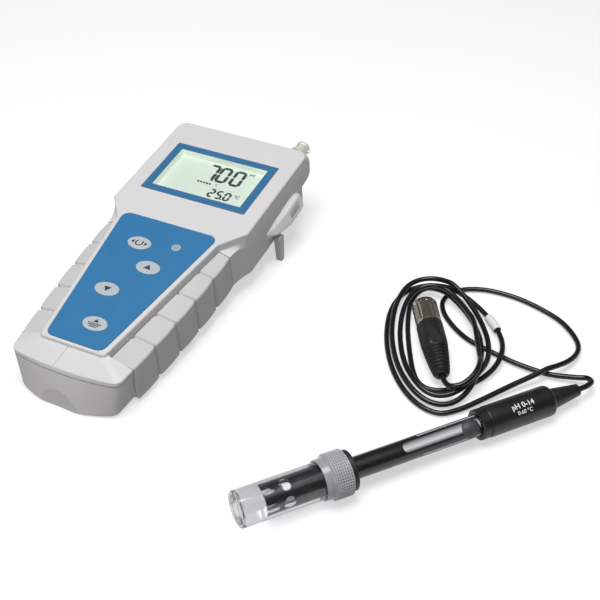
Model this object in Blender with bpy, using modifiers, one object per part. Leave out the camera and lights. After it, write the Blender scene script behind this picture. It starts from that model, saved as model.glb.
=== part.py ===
"""Portable pH meter with its electrode, in metres, +Z up.

The meter stands tilted on a front foot and a fold-out stand. Its pieces are drawn square in a frame
of their own (X across, Y from the front edge to the socket end, Z out of the base), which an empty
then tilts. The electrode lies beside it, drawn along the Z axis of a second empty.
"""

import math

import bmesh
import bpy
import numpy as np
from mathutils import Matrix, Vector

# Fits
GAP = 0.0003
RUN_GAP = 0.0004

# Meter, overall
METER_LENGTH = 0.2278
HEAD_WIDTH = 0.096
TOP_HEIGHT = 0.033
WALL = 0.0024
TILT = math.radians(5.0)

# Meter outline
NECK_Y = 0.1366
HEAD_CORNER = 0.007
FRONT_CORNER = 0.008
FRONT_BASE_CORNER = 0.0085
FRONT_LEAN = 0.0048
FRONT_BOW = 0.0022
FRONT_BASE_BOW = 0.0066
BASE_EDGE = 0.002
TOP_EDGE = 0.0012
GRIP_FRONT_WIDTH = 0.070
GRIP_SET_IN = 0.0047
GRIP_BELLY_Y = 0.115
REAR_LEAN = 0.0028
REAR_UNDERCUT = 0.0098
UNDERCUT_DROP = 0.0195
UNDERCUT_RISE = 0.0045
SHOULDER_HEIGHT = 0.0254
PLATEAU_FOOT_HEIGHT = 0.0276
PLATEAU_FRONT_STEP = 0.0032
PLATEAU_MARGIN = 0.0035
PLATEAU_CORNER_SHARE = 0.85
PARTING_HEIGHT = 0.0222
GRIP_PARTING_HEIGHT = 0.0188

# Side grips
GRIP_START_Y = 0.018
GRIP_END_Y = 0.120
GRIP_THICKNESS = 0.0018
GRIP_PANELS = 5
GROOVE_WIDTH = 0.0014
GROOVE_DEPTH = 0.0009
PANEL_SWELL = 0.0005
GRIP_BOTTOM = 0.0008
GRIP_EDGE = 0.0016

# Display
BEZEL_WIDTH = 0.0738
BEZEL_LENGTH = 0.0499
BEZEL_FROM_REAR = 0.0511
BEZEL_THICKNESS = 0.0011
BEZEL_RECESS = 0.0011
BEZEL_LIP = 0.0010
WINDOW_WIDTH = 0.0634
WINDOW_LENGTH = 0.0397
LENS_THICKNESS = 0.0008
LENS_MARGIN = 0.0028
LCD_THICKNESS = 0.0022
LCD_MARGIN = 0.0033

# Keypad
OVERLAY_FRONT_WIDTH = 0.0367
OVERLAY_REAR_WIDTH = 0.0663
OVERLAY_FRONT_Y = 0.0175
OVERLAY_REAR_Y = 0.1258
OVERLAY_CORNER = 0.0048
OVERLAY_THICKNESS = 0.0006
OVERLAY_RECESS = 0.0007
KEY_WIDTH = 0.015
KEY_LENGTH = 0.0102
KEY_PROUD = 0.0005
KEY_FLANGE = 0.0010
KEY_FLANGE_THICKNESS = 0.0010
KEY_STEM_RADIUS = 0.0020
KEY_TRAVEL = 0.0005
KEY_PLACES = {
    "key_upper": (-0.0090, 0.1033),
    "key_second": (0.0072, 0.0862),
    "key_third": (-0.0056, 0.0612),
    "key_lower": (0.0034, 0.0343),
}
INDICATOR_PLACE = (0.0138, 0.1081)
INDICATOR_RADIUS = 0.0026

# Board and switches
BOARD_THICKNESS = 0.0016
BOARD_WIDTH = 0.060
BOARD_TONGUE_WIDTH = 0.034
BOARD_FRONT_Y = 0.0265
BOARD_STEP_Y = 0.050
BOARD_FROM_REAR = 0.0218
SWITCH_SIDE = 0.006
SWITCH_BODY_HEIGHT = 0.0020
PLUNGER_RADIUS = 0.00175
PLUNGER_HEIGHT = 0.0008

# Batteries
CELL_RADIUS = 0.00725
CELL_LENGTH = 0.0495
CELL_NIPPLE_RADIUS = 0.0027
CELL_NIPPLE_LENGTH = 0.0010
CELL_COUNT = 4
CELL_SPACING = 0.0004
BATTERY_CENTRE_Y = 0.083
TRAY_WALL = 0.0016
CONTACT_THICKNESS = 0.0005
CONTACT_HEIGHT = 0.012
DOOR_THICKNESS = 0.0020

# Screws
SCREW_FRONT_PLACE = (0.027, 0.0275)
SCREW_FROM_SIDE = 0.007
SCREW_FROM_REAR = 0.0308
SCREW_HEAD_RADIUS = 0.0029
SCREW_HEAD_HEIGHT = 0.0009
SCREW_SHANK_RADIUS = 0.0014
SCREW_LENGTH = 0.014
BOSS_RADIUS = 0.0035
BOSS_SET_IN = 0.0012

# Coaxial socket on the meter
SOCKET_FROM_SIDE = 0.0108
SOCKET_DROP = 0.0085
SOCKET_RADIUS = 0.0048
SOCKET_BORE = 0.0041
SOCKET_REACH = 0.0112
SOCKET_FLANGE_RADIUS = 0.0062
SOCKET_FLANGE_THICKNESS = 0.0020
SOCKET_THREAD_RADIUS = 0.0040
SOCKET_THREAD_LENGTH = 0.009
INSULATOR_RADIUS = 0.0022
INSULATOR_REACH = 0.0060
CONTACT_PIN_RADIUS = 0.00065
LOCKNUT_RADIUS = 0.0056
LOCKNUT_THICKNESS = 0.0025
LUG_RADIUS = 0.0010
LUG_REACH = 0.0059
LUG_PLACE = 0.0078

# Stand and foot
HINGE_FROM_REAR = 0.0573
HINGE_Z = 0.0026
STAND_BAR_RADIUS = 0.0020
LEG_THICKNESS = 0.0040
LEG_TOP_RADIUS = 0.0032
LEG_FOOT_WIDTH = 0.0046
LEG_CLEARANCE = 0.0007
HINGE_RIB = 0.0023
FOOT_Y = 0.012
FOOT_WIDTH = 0.048
FOOT_LENGTH = 0.008
FOOT_PROUD = 0.0012
EAR_LIP = 0.0010
EAR_SLOT_WIDTH = 0.0016
EAR_SLOT_LENGTH = 0.009
EAR_SLOT_OUT = 0.0047
EAR_SLOT_FROM_REAR = 0.0373
# Each ear's sections: distance from the rear, reach from the wall, height at the wall and of the lip
EAR_SECTIONS = (
    (0.0688, 0.0008, 0.0146, 0.0136),
    (0.0608, 0.0042, 0.0160, 0.0098),
    (0.0468, 0.0066, 0.0180, 0.0084),
    (0.0323, 0.0066, 0.0192, 0.0084),
    (0.0253, 0.0040, 0.0188, 0.0095),
)

# Electrode, along its axis from the bottle's closed end
BOTTLE_RADIUS = 0.0099
BOTTLE_WALL = 0.0012
BOTTLE_FLOOR = 0.0016
BOTTLE_LENGTH = 0.0589
COLLAR_RADIUS = 0.0125
COLLAR_START = 0.046
COLLAR_CONE = 0.0045
COLLAR_LENGTH = 0.0155
COLLAR_FACE = 0.002
KNURL_COUNT = 36
KNURL_DEPTH = 0.00045
SEAL_RADIUS = 0.0110
SEAL_THICKNESS = 0.0024
SEAL_NECK = 0.0022
TUBE_RADIUS = 0.006
TUBE_WALL = 0.001
TUBE_START = 0.014
TUBE_IN_CAP = 0.0135
TUBE_VISIBLE = 0.0767
GUARD_SLOT_WIDTH = 0.0044
GUARD_SLOT_DEPTH = 0.008
BULB_RADIUS = 0.004
BULB_START = 0.0155
STEM_RADIUS = 0.003
STEM_IN_CAP = 0.009
JUNCTION_START = 0.0255
JUNCTION_LENGTH = 0.004
CAP_RADIUS = 0.0088
CAP_LENGTH = 0.048
CAP_NECK_RADIUS = 0.0077
CAP_NECK_LENGTH = 0.0051
CAP_ROUND = 0.0025
RELIEF_LENGTH = 0.0192
RELIEF_RADIUS = 0.0048
RELIEF_TIP_RADIUS = 0.0032
FILL_PLUG_BACK = 0.0065
FILL_PLUG_RADIUS = 0.0050
FILL_PLUG_HEIGHT = 0.0017
FILL_HOLE_RADIUS = 0.0025
FILL_PLUG_ROLL = math.radians(45.0)
ELECTRODE_PLACE = (0.1276, -0.0494)
ELECTRODE_AZIMUTH = math.radians(50.9)

# Cable, drawn in a flat frame of its own: u to the right, v away
CABLE_RADIUS = 0.0016
COIL_PLACE = (0.175, 0.122)
COIL_YAW = math.radians(25.1)
COIL_CENTRE_U = -0.004
COIL_LEFT = (0.028, 0.015, 0.025, 0.020)
COIL_RIGHT = (0.040, 0.027, 0.0315, 0.0255)
COIL_NEAR = (0.0566, 0.0385, 0.0505, 0.0460)
COIL_FAR = (0.054, 0.050, 0.0565, 0.048)
COIL_LAST_PHASE = 3.74
COIL_SIDE_PHASE = 0.25
POINTS_PER_TURN = 24
CABLE_CLEARANCE = 0.0010
CABLE_EASE = 0.030
LAY_PASSES = 260
SPAN_STEPS = 6
GAP_SAMPLES = 4
LEAD_BEVEL_STEPS = 2
COIL_BEVEL_STEPS = 1
LEAD_POINTS = (
    (0.0780, -0.0410), (0.0815, -0.0365), (0.0800, -0.0320), (0.0735, -0.0300), (0.0592, -0.0262),
    (0.0445, -0.0178), (0.0357, -0.0112), (0.0280, -0.0050), (0.0177, 0.0040), (0.0108, 0.0140),
    (0.0062, 0.0247), (0.0045, 0.0330), (0.0055, 0.0410), (0.0110, 0.0485), (0.0210, 0.0525),
    (0.0350, 0.0515), (0.0510, 0.0445), (0.0650, 0.0334), (0.0758, 0.0205), (0.0812, 0.0050),
    (0.0800, -0.0070), (0.0715, -0.0180), (0.0555, -0.0275), (0.0365, -0.0370), (0.0165, -0.0482),
    (0.0060, -0.0535),
)
TAIL_POINTS = (
    (0.0200, -0.0160), (0.0190, -0.0260), (0.0160, -0.0350), (0.0110, -0.0410), (0.0050, -0.0440),
    (-0.0003, -0.0426),
)
MARKER_PHASE = 0.696
MARKER_LENGTH = 0.013
MARKER_RADIUS = 0.0027
MARKER_BORE = 0.00215
MARKER_RINGS = 5

# Plug on the cable, along its axis from the boot's cable end
PLUG_U = -0.0030
PLUG_V = -0.0329
PLUG_YAW = math.radians(4.4)
BOOT_RADIUS = 0.0080
BOOT_LENGTH = 0.0425
BOOT_PLAIN_LENGTH = 0.0215
BOOT_RIB_COUNT = 8
BOOT_RIB_DEPTH = 0.0005
BOOT_RIB_RADIUS = 0.0074
BOOT_RIB_LAND = 0.55
BOOT_RIB_FALL = 0.05
BOOT_RIB_FLOOR = 0.35
BOOT_TIP_RADIUS = 0.0034
BOOT_BORE_DEPTH = 0.014
PLUG_CORE_RADIUS = 0.0050
PLUG_SLEEVE_RADIUS = 0.0040
PLUG_SLEEVE_BORE = 0.0032
PLUG_SLEEVE_LENGTH = 0.0170
PLUG_SLEEVE_DEPTH = 0.007
NUT_RADIUS = 0.0078
NUT_BORE = 0.0063
NUT_LENGTH = 0.0192
NUT_LIP = 0.0020
NUT_FLUTES = 18
NUT_FLUTE_DEPTH = 0.0004

# Facets
ROUND_STEPS = 24
MEDIUM_STEPS = 16
SMALL_STEPS = 12
PIN_STEPS = 8
ARC_STEPS = 4

# Values that follow
HEAD_HALF = HEAD_WIDTH / 2
GRIP_BELLY_WIDTH = HEAD_WIDTH - 2 * GRIP_SET_IN
GRIP_RECESS = GRIP_THICKNESS + GAP
PLATE_UNDERSIDE = TOP_HEIGHT - WALL
PLATEAU_FRONT_FOOT = TOP_HEIGHT - PLATEAU_FRONT_STEP
UNDERCUT_HEIGHT = TOP_HEIGHT - UNDERCUT_DROP
BEZEL_CENTRE_Y = METER_LENGTH - BEZEL_FROM_REAR
BOARD_REAR_Y = METER_LENGTH - BOARD_FROM_REAR
SCREW_REAR_PLACE = (HEAD_HALF - SCREW_FROM_SIDE, METER_LENGTH - SCREW_FROM_REAR)
SOCKET_X = HEAD_HALF - SOCKET_FROM_SIDE
SOCKET_Z = TOP_HEIGHT - SOCKET_DROP
HINGE_Y = METER_LENGTH - HINGE_FROM_REAR
TRAY_INNER_WIDTH = CELL_COUNT * 2 * CELL_RADIUS + (CELL_COUNT + 1) * CELL_SPACING
TRAY_INNER_LENGTH = CELL_LENGTH + CELL_NIPPLE_LENGTH + 2 * (CONTACT_THICKNESS + 2 * GAP)
CELL_CENTRE_Z = WALL + GAP + CELL_RADIUS
TRAY_CEILING = CELL_CENTRE_Z + CELL_RADIUS + GAP
BOARD_BOTTOM = TRAY_CEILING + TRAY_WALL + GAP
BOARD_TOP = BOARD_BOTTOM + BOARD_THICKNESS
FLANGE_TOP = PLATE_UNDERSIDE - GAP
PLUNGER_TOP = BOARD_TOP + GAP + SWITCH_BODY_HEIGHT + PLUNGER_HEIGHT
STEM_END = PLUNGER_TOP + RUN_GAP + KEY_TRAVEL
COLLAR_END = COLLAR_START + COLLAR_LENGTH
SEAL_END = COLLAR_END + GAP + SEAL_THICKNESS
CAP_START = SEAL_END + TUBE_VISIBLE
CAP_END = CAP_START + CAP_LENGTH
RELIEF_END = CAP_END + GAP + RELIEF_LENGTH
TUBE_END = CAP_START + TUBE_IN_CAP
STEM_TOP = TUBE_END + STEM_IN_CAP
FILL_PLUG_PLACE = CAP_START - FILL_PLUG_BACK
FRONT, GRIP, HEAD = range(3)

COLOURS = {
    "case_grey": ((0.66, 0.66, 0.66), 0.45, 0.0),
    "grip_grey": ((0.58, 0.60, 0.60), 0.60, 0.0),
    "blue": ((0.044, 0.209, 0.435), 0.40, 0.0),
    "key_grey": ((0.55, 0.57, 0.60), 0.45, 0.0),
    "clear": ((0.90, 0.92, 0.93), 0.08, 0.0),
    "lcd_green": ((0.69, 0.82, 0.69), 0.35, 0.0),
    "board_green": ((0.02, 0.16, 0.06), 0.50, 0.0),
    "black": ((0.012, 0.012, 0.013), 0.40, 0.0),
    "rubber": ((0.020, 0.020, 0.022), 0.75, 0.0),
    "nickel": ((0.68, 0.66, 0.62), 0.25, 1.0),
    "gold": ((0.80, 0.58, 0.22), 0.25, 1.0),
    "steel": ((0.55, 0.56, 0.58), 0.30, 1.0),
    "white": ((0.85, 0.85, 0.83), 0.45, 0.0),
    "glass": ((0.90, 0.92, 0.93), 0.03, 0.0),
    "cable_black": ((0.012, 0.012, 0.013), 0.45, 0.0),
    "cell_jacket": ((0.08, 0.09, 0.10), 0.35, 0.0),
}


def clear_scene():
    """Removes whatever the scene holds."""
    for old in list(bpy.data.objects):
        bpy.data.objects.remove(old, do_unlink=True)


def new_collection(name):
    collection = bpy.data.collections.new(name)
    bpy.context.scene.collection.children.link(collection)
    return collection


def new_material(name):
    """A Principled material from COLOURS, made once."""
    made = bpy.data.materials.get(name)
    if made:
        return made
    colour, roughness, metallic = COLOURS[name]
    made = bpy.data.materials.new(name)
    made.use_nodes = True
    shader = made.node_tree.nodes["Principled BSDF"]
    shader.inputs["Base Color"].default_value = (*colour, 1.0)
    shader.inputs["Roughness"].default_value = roughness
    shader.inputs["Metallic"].default_value = metallic
    return made


def new_empty(name, matrix, parent=None):
    empty = bpy.data.objects.new(name, None)
    PARTS.objects.link(empty)
    empty.parent = parent
    empty.matrix_local = matrix
    return empty


def finish(name, mesh, material, parent):
    """Makes a part from a mesh, shaded smooth but for its sharp edges."""
    mesh.shade_smooth()
    mesh.set_sharp_from_angle(angle=math.radians(35))
    mesh.materials.append(new_material(material))
    part = bpy.data.objects.new(name, mesh)
    PARTS.objects.link(part)
    part.parent = parent
    return part


def mesh_from(name, shape):
    """Turns a bmesh into a mesh whose faces point out."""
    bmesh.ops.recalc_face_normals(shape, faces=shape.faces)
    mesh = bpy.data.meshes.new(name)
    shape.to_mesh(mesh)
    shape.free()
    return mesh


def add_loft(shape, rings, closed=False):
    """Skins a row of rings with equal numbers of points, capping both ends unless it closes on itself."""
    loops = [[shape.verts.new(point) for point in ring] for ring in rings]
    pairs = list(zip(loops, loops[1:]))
    if closed:
        pairs.append((loops[-1], loops[0]))
    for low, high in pairs:
        count = len(low)
        for i in range(count):
            j = (i + 1) % count
            shape.faces.new((low[i], low[j], high[j], high[i]))
    if not closed:
        shape.faces.new(reversed(loops[0]))
        shape.faces.new(loops[-1])


def loft(name, rings, material, parent, closed=False):
    shape = bmesh.new()
    add_loft(shape, rings, closed)
    return finish(name, mesh_from(name, shape), material, parent)


def add_prism(shape, outline, low, high):
    """Extrudes a flat outline from one height to another."""
    face = shape.faces.new([shape.verts.new((x, y, low)) for x, y in outline])
    grown = bmesh.ops.extrude_face_region(shape, geom=[face])
    moved = [item for item in grown["geom"] if isinstance(item, bmesh.types.BMVert)]
    bmesh.ops.translate(shape, verts=moved, vec=(0, 0, high - low))


def prism(name, outline, low, high, material, parent):
    shape = bmesh.new()
    add_prism(shape, outline, low, high)
    return finish(name, mesh_from(name, shape), material, parent)


def add_box(shape, low, high):
    size = Vector(high) - Vector(low)
    middle = (Vector(high) + Vector(low)) / 2
    matrix = Matrix.Translation(middle) @ Matrix.Diagonal((*size, 1.0))
    bmesh.ops.create_cube(shape, size=1.0, matrix=matrix)


def box(name, low, high, material, parent):
    shape = bmesh.new()
    add_box(shape, low, high)
    return finish(name, mesh_from(name, shape), material, parent)


def add_cylinder(shape, radius, low, high, steps):
    """A capped cylinder between two points."""
    start, end = Vector(low), Vector(high)
    turn = (end - start).to_track_quat("Z", "Y").to_matrix().to_4x4()
    bmesh.ops.create_cone(
        shape,
        cap_ends=True,
        segments=steps,
        radius1=radius,
        radius2=radius,
        depth=(end - start).length,
        matrix=Matrix.Translation((start + end) / 2) @ turn,
    )


def turned(name, profile, material, parent, steps=ROUND_STEPS, closed=False):
    """Turns an (r, z) profile, which runs down its outer side, about Z."""
    mesh = bpy.data.meshes.new(name)
    count = len(profile)
    edges = [(i, i + 1) for i in range(count - 1)]
    if closed:
        edges.append((count - 1, 0))
    mesh.from_pydata([(r, 0, z) for r, z in profile], edges, [])
    part = finish(name, mesh, material, parent)
    screw = part.modifiers.new("turn", "SCREW")
    screw.steps = steps
    screw.render_steps = steps
    screw.use_merge_vertices = True
    screw.merge_threshold = 1e-5
    return part


def cutter(name, shape, parent):
    """Makes a hidden tool object from a bmesh."""
    tool = bpy.data.objects.new(name, mesh_from(name, shape))
    CUTTERS.objects.link(tool)
    tool.parent = parent
    tool.hide_render = True
    tool.display_type = "WIRE"
    return tool


def combine(part, tool, operation):
    change = part.modifiers.new(tool.name, "BOOLEAN")
    change.operation = operation
    change.object = tool
    change.solver = "EXACT"


def cut(part, tool):
    combine(part, tool, "DIFFERENCE")


def join(part, tool):
    combine(part, tool, "UNION")


def circle(radius, z, steps=ROUND_STEPS, dips=0.0, start=0.0):
    """A ring of points about Z. Every second point is drawn in by dips."""
    ring = []
    for i in range(steps):
        angle = start + 2 * math.pi * i / steps
        reach = radius - dips * (i % 2)
        ring.append((reach * math.cos(angle), reach * math.sin(angle), z))
    return ring


def arc(centre, radius, first, last, steps=ARC_STEPS):
    """Points on an arc, in the XY plane, between two angles in degrees."""
    angles = np.radians(np.linspace(first, last, steps + 1))
    return [(centre[0] + radius * math.cos(a), centre[1] + radius * math.sin(a)) for a in angles]


def ellipse(place, width, length, steps=ROUND_STEPS):
    angles = [2 * math.pi * i / steps for i in range(steps)]
    return [(place[0] + width / 2 * math.cos(a), place[1] + length / 2 * math.sin(a)) for a in angles]


def rectangle(width, length, centre_y, margin=0.0):
    half, reach = width / 2 + margin, length / 2 + margin
    return [
        (-half, centre_y - reach),
        (half, centre_y - reach),
        (half, centre_y + reach),
        (-half, centre_y + reach),
    ]


def inset(outline, distance):
    """Moves each side of an anticlockwise outline inwards."""
    points = np.array(outline)
    along = np.roll(points, -1, axis=0) - points
    along /= np.linalg.norm(along, axis=1)[:, None]
    inward = np.stack([-along[:, 1], along[:, 0]], axis=1)
    before = np.roll(inward, 1, axis=0)
    share = 1 + (before * inward).sum(axis=1)
    return [tuple(p) for p in points + distance * (before + inward) / share[:, None]]


def at_height(outline, z):
    return [(x, y, z) for x, y in outline]


# Meter outline


def grip_half(y):
    """Half the grip's width at y: it swells from the front edge to the belly."""
    rise = math.sin(math.pi / 2 * min(max(y / GRIP_BELLY_Y, 0.0), 1.0))
    return (GRIP_FRONT_WIDTH + (GRIP_BELLY_WIDTH - GRIP_FRONT_WIDTH) * rise) / 2


def overlay_half(y):
    share = (y - OVERLAY_FRONT_Y) / (OVERLAY_REAR_Y - OVERLAY_FRONT_Y)
    return (OVERLAY_FRONT_WIDTH + (OVERLAY_REAR_WIDTH - OVERLAY_FRONT_WIDTH) * share) / 2


def plateau_half(y):
    """Half the raised keypad's width: it follows the overlay, then runs out to the head's corner."""
    if y <= GRIP_END_Y:
        return overlay_half(y) + PLATEAU_MARGIN
    start = overlay_half(GRIP_END_Y) + PLATEAU_MARGIN
    share = (y - GRIP_END_Y) / (NECK_Y - GRIP_END_Y)
    return start + (HEAD_HALF - start) * share


def outline_points(half_at, front_y, corner, rear_y, recess, bow):
    """The case's outline, anticlockwise from the front's middle, with each point's zone."""
    step = GAP
    panel = (GRIP_END_Y - GRIP_START_Y) / GRIP_PANELS
    corner_x = half_at(front_y + corner)
    turn = math.degrees(math.atan2(2 * bow, corner_x))
    corner_arc = arc((corner_x - corner, front_y + corner), corner, turn - 90, 0)
    end_x, end_y = corner_arc[0]
    right = []
    for k in range(ARC_STEPS):
        share = k / ARC_STEPS
        right.append((end_x * share, end_y - bow * (1 - share * share), FRONT))
    right += [(x, y, FRONT) for x, y in corner_arc]
    right.append((half_at(GRIP_START_Y), GRIP_START_Y, FRONT))
    right.append((half_at(GRIP_START_Y) - recess, GRIP_START_Y + step, GRIP))
    for k in range(1, GRIP_PANELS):
        y = GRIP_START_Y + k * panel
        right.append((half_at(y) - recess, y, GRIP))
    right.append((half_at(GRIP_END_Y) - recess, GRIP_END_Y, GRIP))
    right.append((half_at(GRIP_END_Y), GRIP_END_Y + step, HEAD))
    right.append((HEAD_HALF, NECK_Y, HEAD))
    rear_centre = (HEAD_HALF - HEAD_CORNER, rear_y - HEAD_CORNER)
    right += [(x, y, HEAD) for x, y in arc(rear_centre, HEAD_CORNER, 0, 90)]
    middle = (0.0, rear_y, HEAD)
    left = [(-x, y, zone) for x, y, zone in reversed(right[1:])]
    return right + [middle] + left


def case_ring(half_at, corner, rear_y, recess, heights, front_y, bow, inwards=0.0):
    """One level of the case: heights gives z in the front, grip and head zones."""
    points = outline_points(half_at, front_y, corner, rear_y, recess, bow)
    flat = [(x, y) for x, y, _ in points]
    if inwards:
        flat = inset(flat, inwards)
    return [(x, y, heights[zone]) for (x, y), (_, _, zone) in zip(flat, points)]


def up_front(base, top, z):
    """A size of the front face that changes evenly from the base to the shoulder."""
    return base + (top - base) * z / SHOULDER_HEIGHT


def outer_ring(heights, rear_y=METER_LENGTH, inwards=0.0):
    z = heights[FRONT]
    corner = up_front(FRONT_BASE_CORNER, FRONT_CORNER, z)
    bow = up_front(FRONT_BASE_BOW, FRONT_BOW, z)
    front_y = up_front(0.0, FRONT_LEAN, z)
    return case_ring(grip_half, corner, rear_y, GRIP_RECESS, heights, front_y, bow, inwards)


def plateau_ring(heights, rear_y=METER_LENGTH, inwards=0.0):
    front_y = OVERLAY_FRONT_Y - PLATEAU_MARGIN
    corner = (GRIP_START_Y - front_y) * PLATEAU_CORNER_SHARE
    return case_ring(plateau_half, corner, rear_y, 0.0, heights, front_y, 0.0, inwards)


def shell(name, outer, inner, material):
    """A walled skin: the outer rings run from the rim to the closed end, and so do the inner ones."""
    return loft(name, inner[::-1] + outer, material, METER)


def even(z):
    return (z, z, z)


def level(z, grip_share):
    """Heights of a lower ring, which under the grips is a share of the parting height there."""
    return (z, GRIP_PARTING_HEIGHT * grip_share, z)


def make_lower_case():
    base_rear = METER_LENGTH - REAR_UNDERCUT
    parting = (PARTING_HEIGHT, GRIP_PARTING_HEIGHT, PARTING_HEIGHT)
    rise = UNDERCUT_HEIGHT + UNDERCUT_RISE
    outer = [
        outer_ring(parting),
        outer_ring(level(rise, 0.8)),
        outer_ring(level(UNDERCUT_HEIGHT + UNDERCUT_RISE / 3, 0.6), METER_LENGTH - REAR_UNDERCUT / 3),
        outer_ring(level(UNDERCUT_HEIGHT, 0.4), base_rear),
        outer_ring(even(BASE_EDGE), base_rear),
        outer_ring(even(0.0), base_rear, BASE_EDGE),
    ]
    inner = [
        outer_ring(parting, METER_LENGTH, WALL),
        outer_ring(level(rise + WALL / 3, 0.8), METER_LENGTH, WALL),
        outer_ring(level(UNDERCUT_HEIGHT + WALL, 0.6), base_rear, WALL),
        outer_ring(even(WALL + BASE_EDGE / 2), base_rear, WALL),
        outer_ring(even(WALL), base_rear, WALL + BASE_EDGE / 2),
    ]
    case = shell("lower_case", outer, inner, "case_grey")
    join(case, stand_rib())
    for side in (-1, 1):
        join(case, ear(side))
    shape = bmesh.new()
    groove = STAND_BAR_RADIUS + RUN_GAP
    add_box(
        shape,
        (-HEAD_WIDTH, HINGE_Y - groove, -WALL),
        (HEAD_WIDTH, HINGE_Y + groove, HINGE_Z + groove),
    )
    cut(case, cutter("stand_groove", shape, METER))
    shape = bmesh.new()
    add_box(
        shape,
        (-TRAY_INNER_WIDTH / 2, BATTERY_CENTRE_Y - TRAY_INNER_LENGTH / 2, -WALL),
        (TRAY_INNER_WIDTH / 2, BATTERY_CENTRE_Y + TRAY_INNER_LENGTH / 2, 2 * WALL),
    )
    cut(case, cutter("door_opening", shape, METER))
    shape = bmesh.new()
    for x, y in screw_places():
        add_cylinder(shape, SCREW_SHANK_RADIUS + GAP, (x, y, 0), (x, y, 2 * WALL), SMALL_STEPS)
    cut(case, cutter("screw_holes", shape, METER))
    shape = bmesh.new()
    seat = SCREW_HEAD_HEIGHT + 2 * GAP
    for x, y in screw_places():
        add_cylinder(shape, SCREW_HEAD_RADIUS + GAP, (x, y, -WALL), (x, y, seat), SMALL_STEPS)
    cut(case, cutter("screw_seats", shape, METER))
    cut(case, socket_hole())
    shape = bmesh.new()
    slot_y = METER_LENGTH - EAR_SLOT_FROM_REAR
    for side in (-1, 1):
        middle = side * (HEAD_HALF + EAR_SLOT_OUT)
        add_box(
            shape,
            (middle - EAR_SLOT_WIDTH / 2, slot_y - EAR_SLOT_LENGTH / 2, 0),
            (middle + EAR_SLOT_WIDTH / 2, slot_y + EAR_SLOT_LENGTH / 2, TOP_HEIGHT),
        )
    cut(case, cutter("ear_slots", shape, METER))


def stand_rib():
    """A bar across the floor that backs the stand's groove."""
    shape = bmesh.new()
    reach = STAND_BAR_RADIUS + RUN_GAP + HINGE_RIB
    half = HEAD_HALF - WALL / 2
    add_box(shape, (-half, HINGE_Y - reach, WALL / 2), (half, HINGE_Y + reach, HINGE_Z + reach))
    return cutter("stand_rib", shape, METER)


def ear(side):
    """A lug on the head's side: it flares down and out, and its front end runs to a point."""
    inner = HEAD_HALF - WALL / 2
    clear = HINGE_Z + LEG_TOP_RADIUS + RUN_GAP + GAP
    rings = []
    for back, reach, top, lip in EAR_SECTIONS:
        outer = HEAD_HALF + reach
        section = [(inner, top), (outer, lip), (outer, lip - EAR_LIP), (inner, clear)]
        rings.append([(side * x, METER_LENGTH - back, z) for x, z in section])
    shape = bmesh.new()
    add_loft(shape, rings)
    return cutter("ear_right" if side > 0 else "ear_left", shape, METER)


def screw_places():
    return [(side * x, y) for x, y in (SCREW_FRONT_PLACE, SCREW_REAR_PLACE) for side in (-1, 1)]


def socket_hole():
    tool = bpy.data.objects.get("socket_hole")
    if tool:
        return tool
    shape = bmesh.new()
    low = (SOCKET_X, METER_LENGTH - REAR_LEAN - 2 * WALL, SOCKET_Z)
    high = (SOCKET_X, METER_LENGTH + WALL, SOCKET_Z)
    add_cylinder(shape, SOCKET_THREAD_RADIUS + GAP, low, high, ROUND_STEPS)
    return cutter("socket_hole", shape, METER)


def make_upper_case():
    low = (PARTING_HEIGHT + GAP, GRIP_PARTING_HEIGHT + GAP, PARTING_HEIGHT + GAP)
    edge = (SHOULDER_HEIGHT, SHOULDER_HEIGHT - GRIP_RECESS, SHOULDER_HEIGHT)
    foot = (PLATEAU_FRONT_FOOT, PLATEAU_FOOT_HEIGHT - GRIP_RECESS, PLATEAU_FOOT_HEIGHT)
    top_rear = METER_LENGTH - REAR_LEAN
    outer = [
        outer_ring(low),
        outer_ring(edge),
        plateau_ring(foot),
        plateau_ring(even(TOP_HEIGHT - TOP_EDGE), top_rear),
        plateau_ring(even(TOP_HEIGHT), top_rear, TOP_EDGE),
    ]
    inner = [
        outer_ring(low, top_rear, WALL),
        outer_ring([z - WALL for z in edge], top_rear, WALL),
        plateau_ring([z - WALL for z in foot], top_rear, WALL),
        plateau_ring(even(PLATE_UNDERSIDE), top_rear, WALL),
    ]
    case = shell("upper_case", outer, inner, "case_grey")
    shape = bmesh.new()
    for x, y in screw_places():
        top = boss_top(y)
        add_cylinder(shape, BOSS_RADIUS, (x, y, WALL + GAP), (x, y, top), SMALL_STEPS)
    join(case, cutter("screw_bosses", shape, METER))
    shape = bmesh.new()
    for x, y in screw_places():
        deep = SCREW_LENGTH + SCREW_HEAD_HEIGHT + 4 * GAP
        add_cylinder(shape, SCREW_SHANK_RADIUS + GAP, (x, y, 0), (x, y, deep), SMALL_STEPS)
    cut(case, cutter("boss_bores", shape, METER))
    shape = bmesh.new()
    add_prism(
        shape,
        rectangle(BEZEL_WIDTH, BEZEL_LENGTH, BEZEL_CENTRE_Y, GAP),
        TOP_HEIGHT - BEZEL_RECESS,
        TOP_HEIGHT + WALL,
    )
    cut(case, cutter("bezel_recess", shape, METER))
    shape = bmesh.new()
    add_prism(
        shape,
        rectangle(WINDOW_WIDTH, WINDOW_LENGTH, BEZEL_CENTRE_Y, BEZEL_LIP + GAP),
        PLATE_UNDERSIDE - WALL,
        TOP_HEIGHT,
    )
    cut(case, cutter("window_opening", shape, METER))
    shape = bmesh.new()
    add_prism(shape, overlay_outline(GAP), TOP_HEIGHT - OVERLAY_RECESS, TOP_HEIGHT + WALL)
    cut(case, cutter("overlay_recess", shape, METER))
    cut(case, key_holes())
    cut(case, socket_hole())


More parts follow.
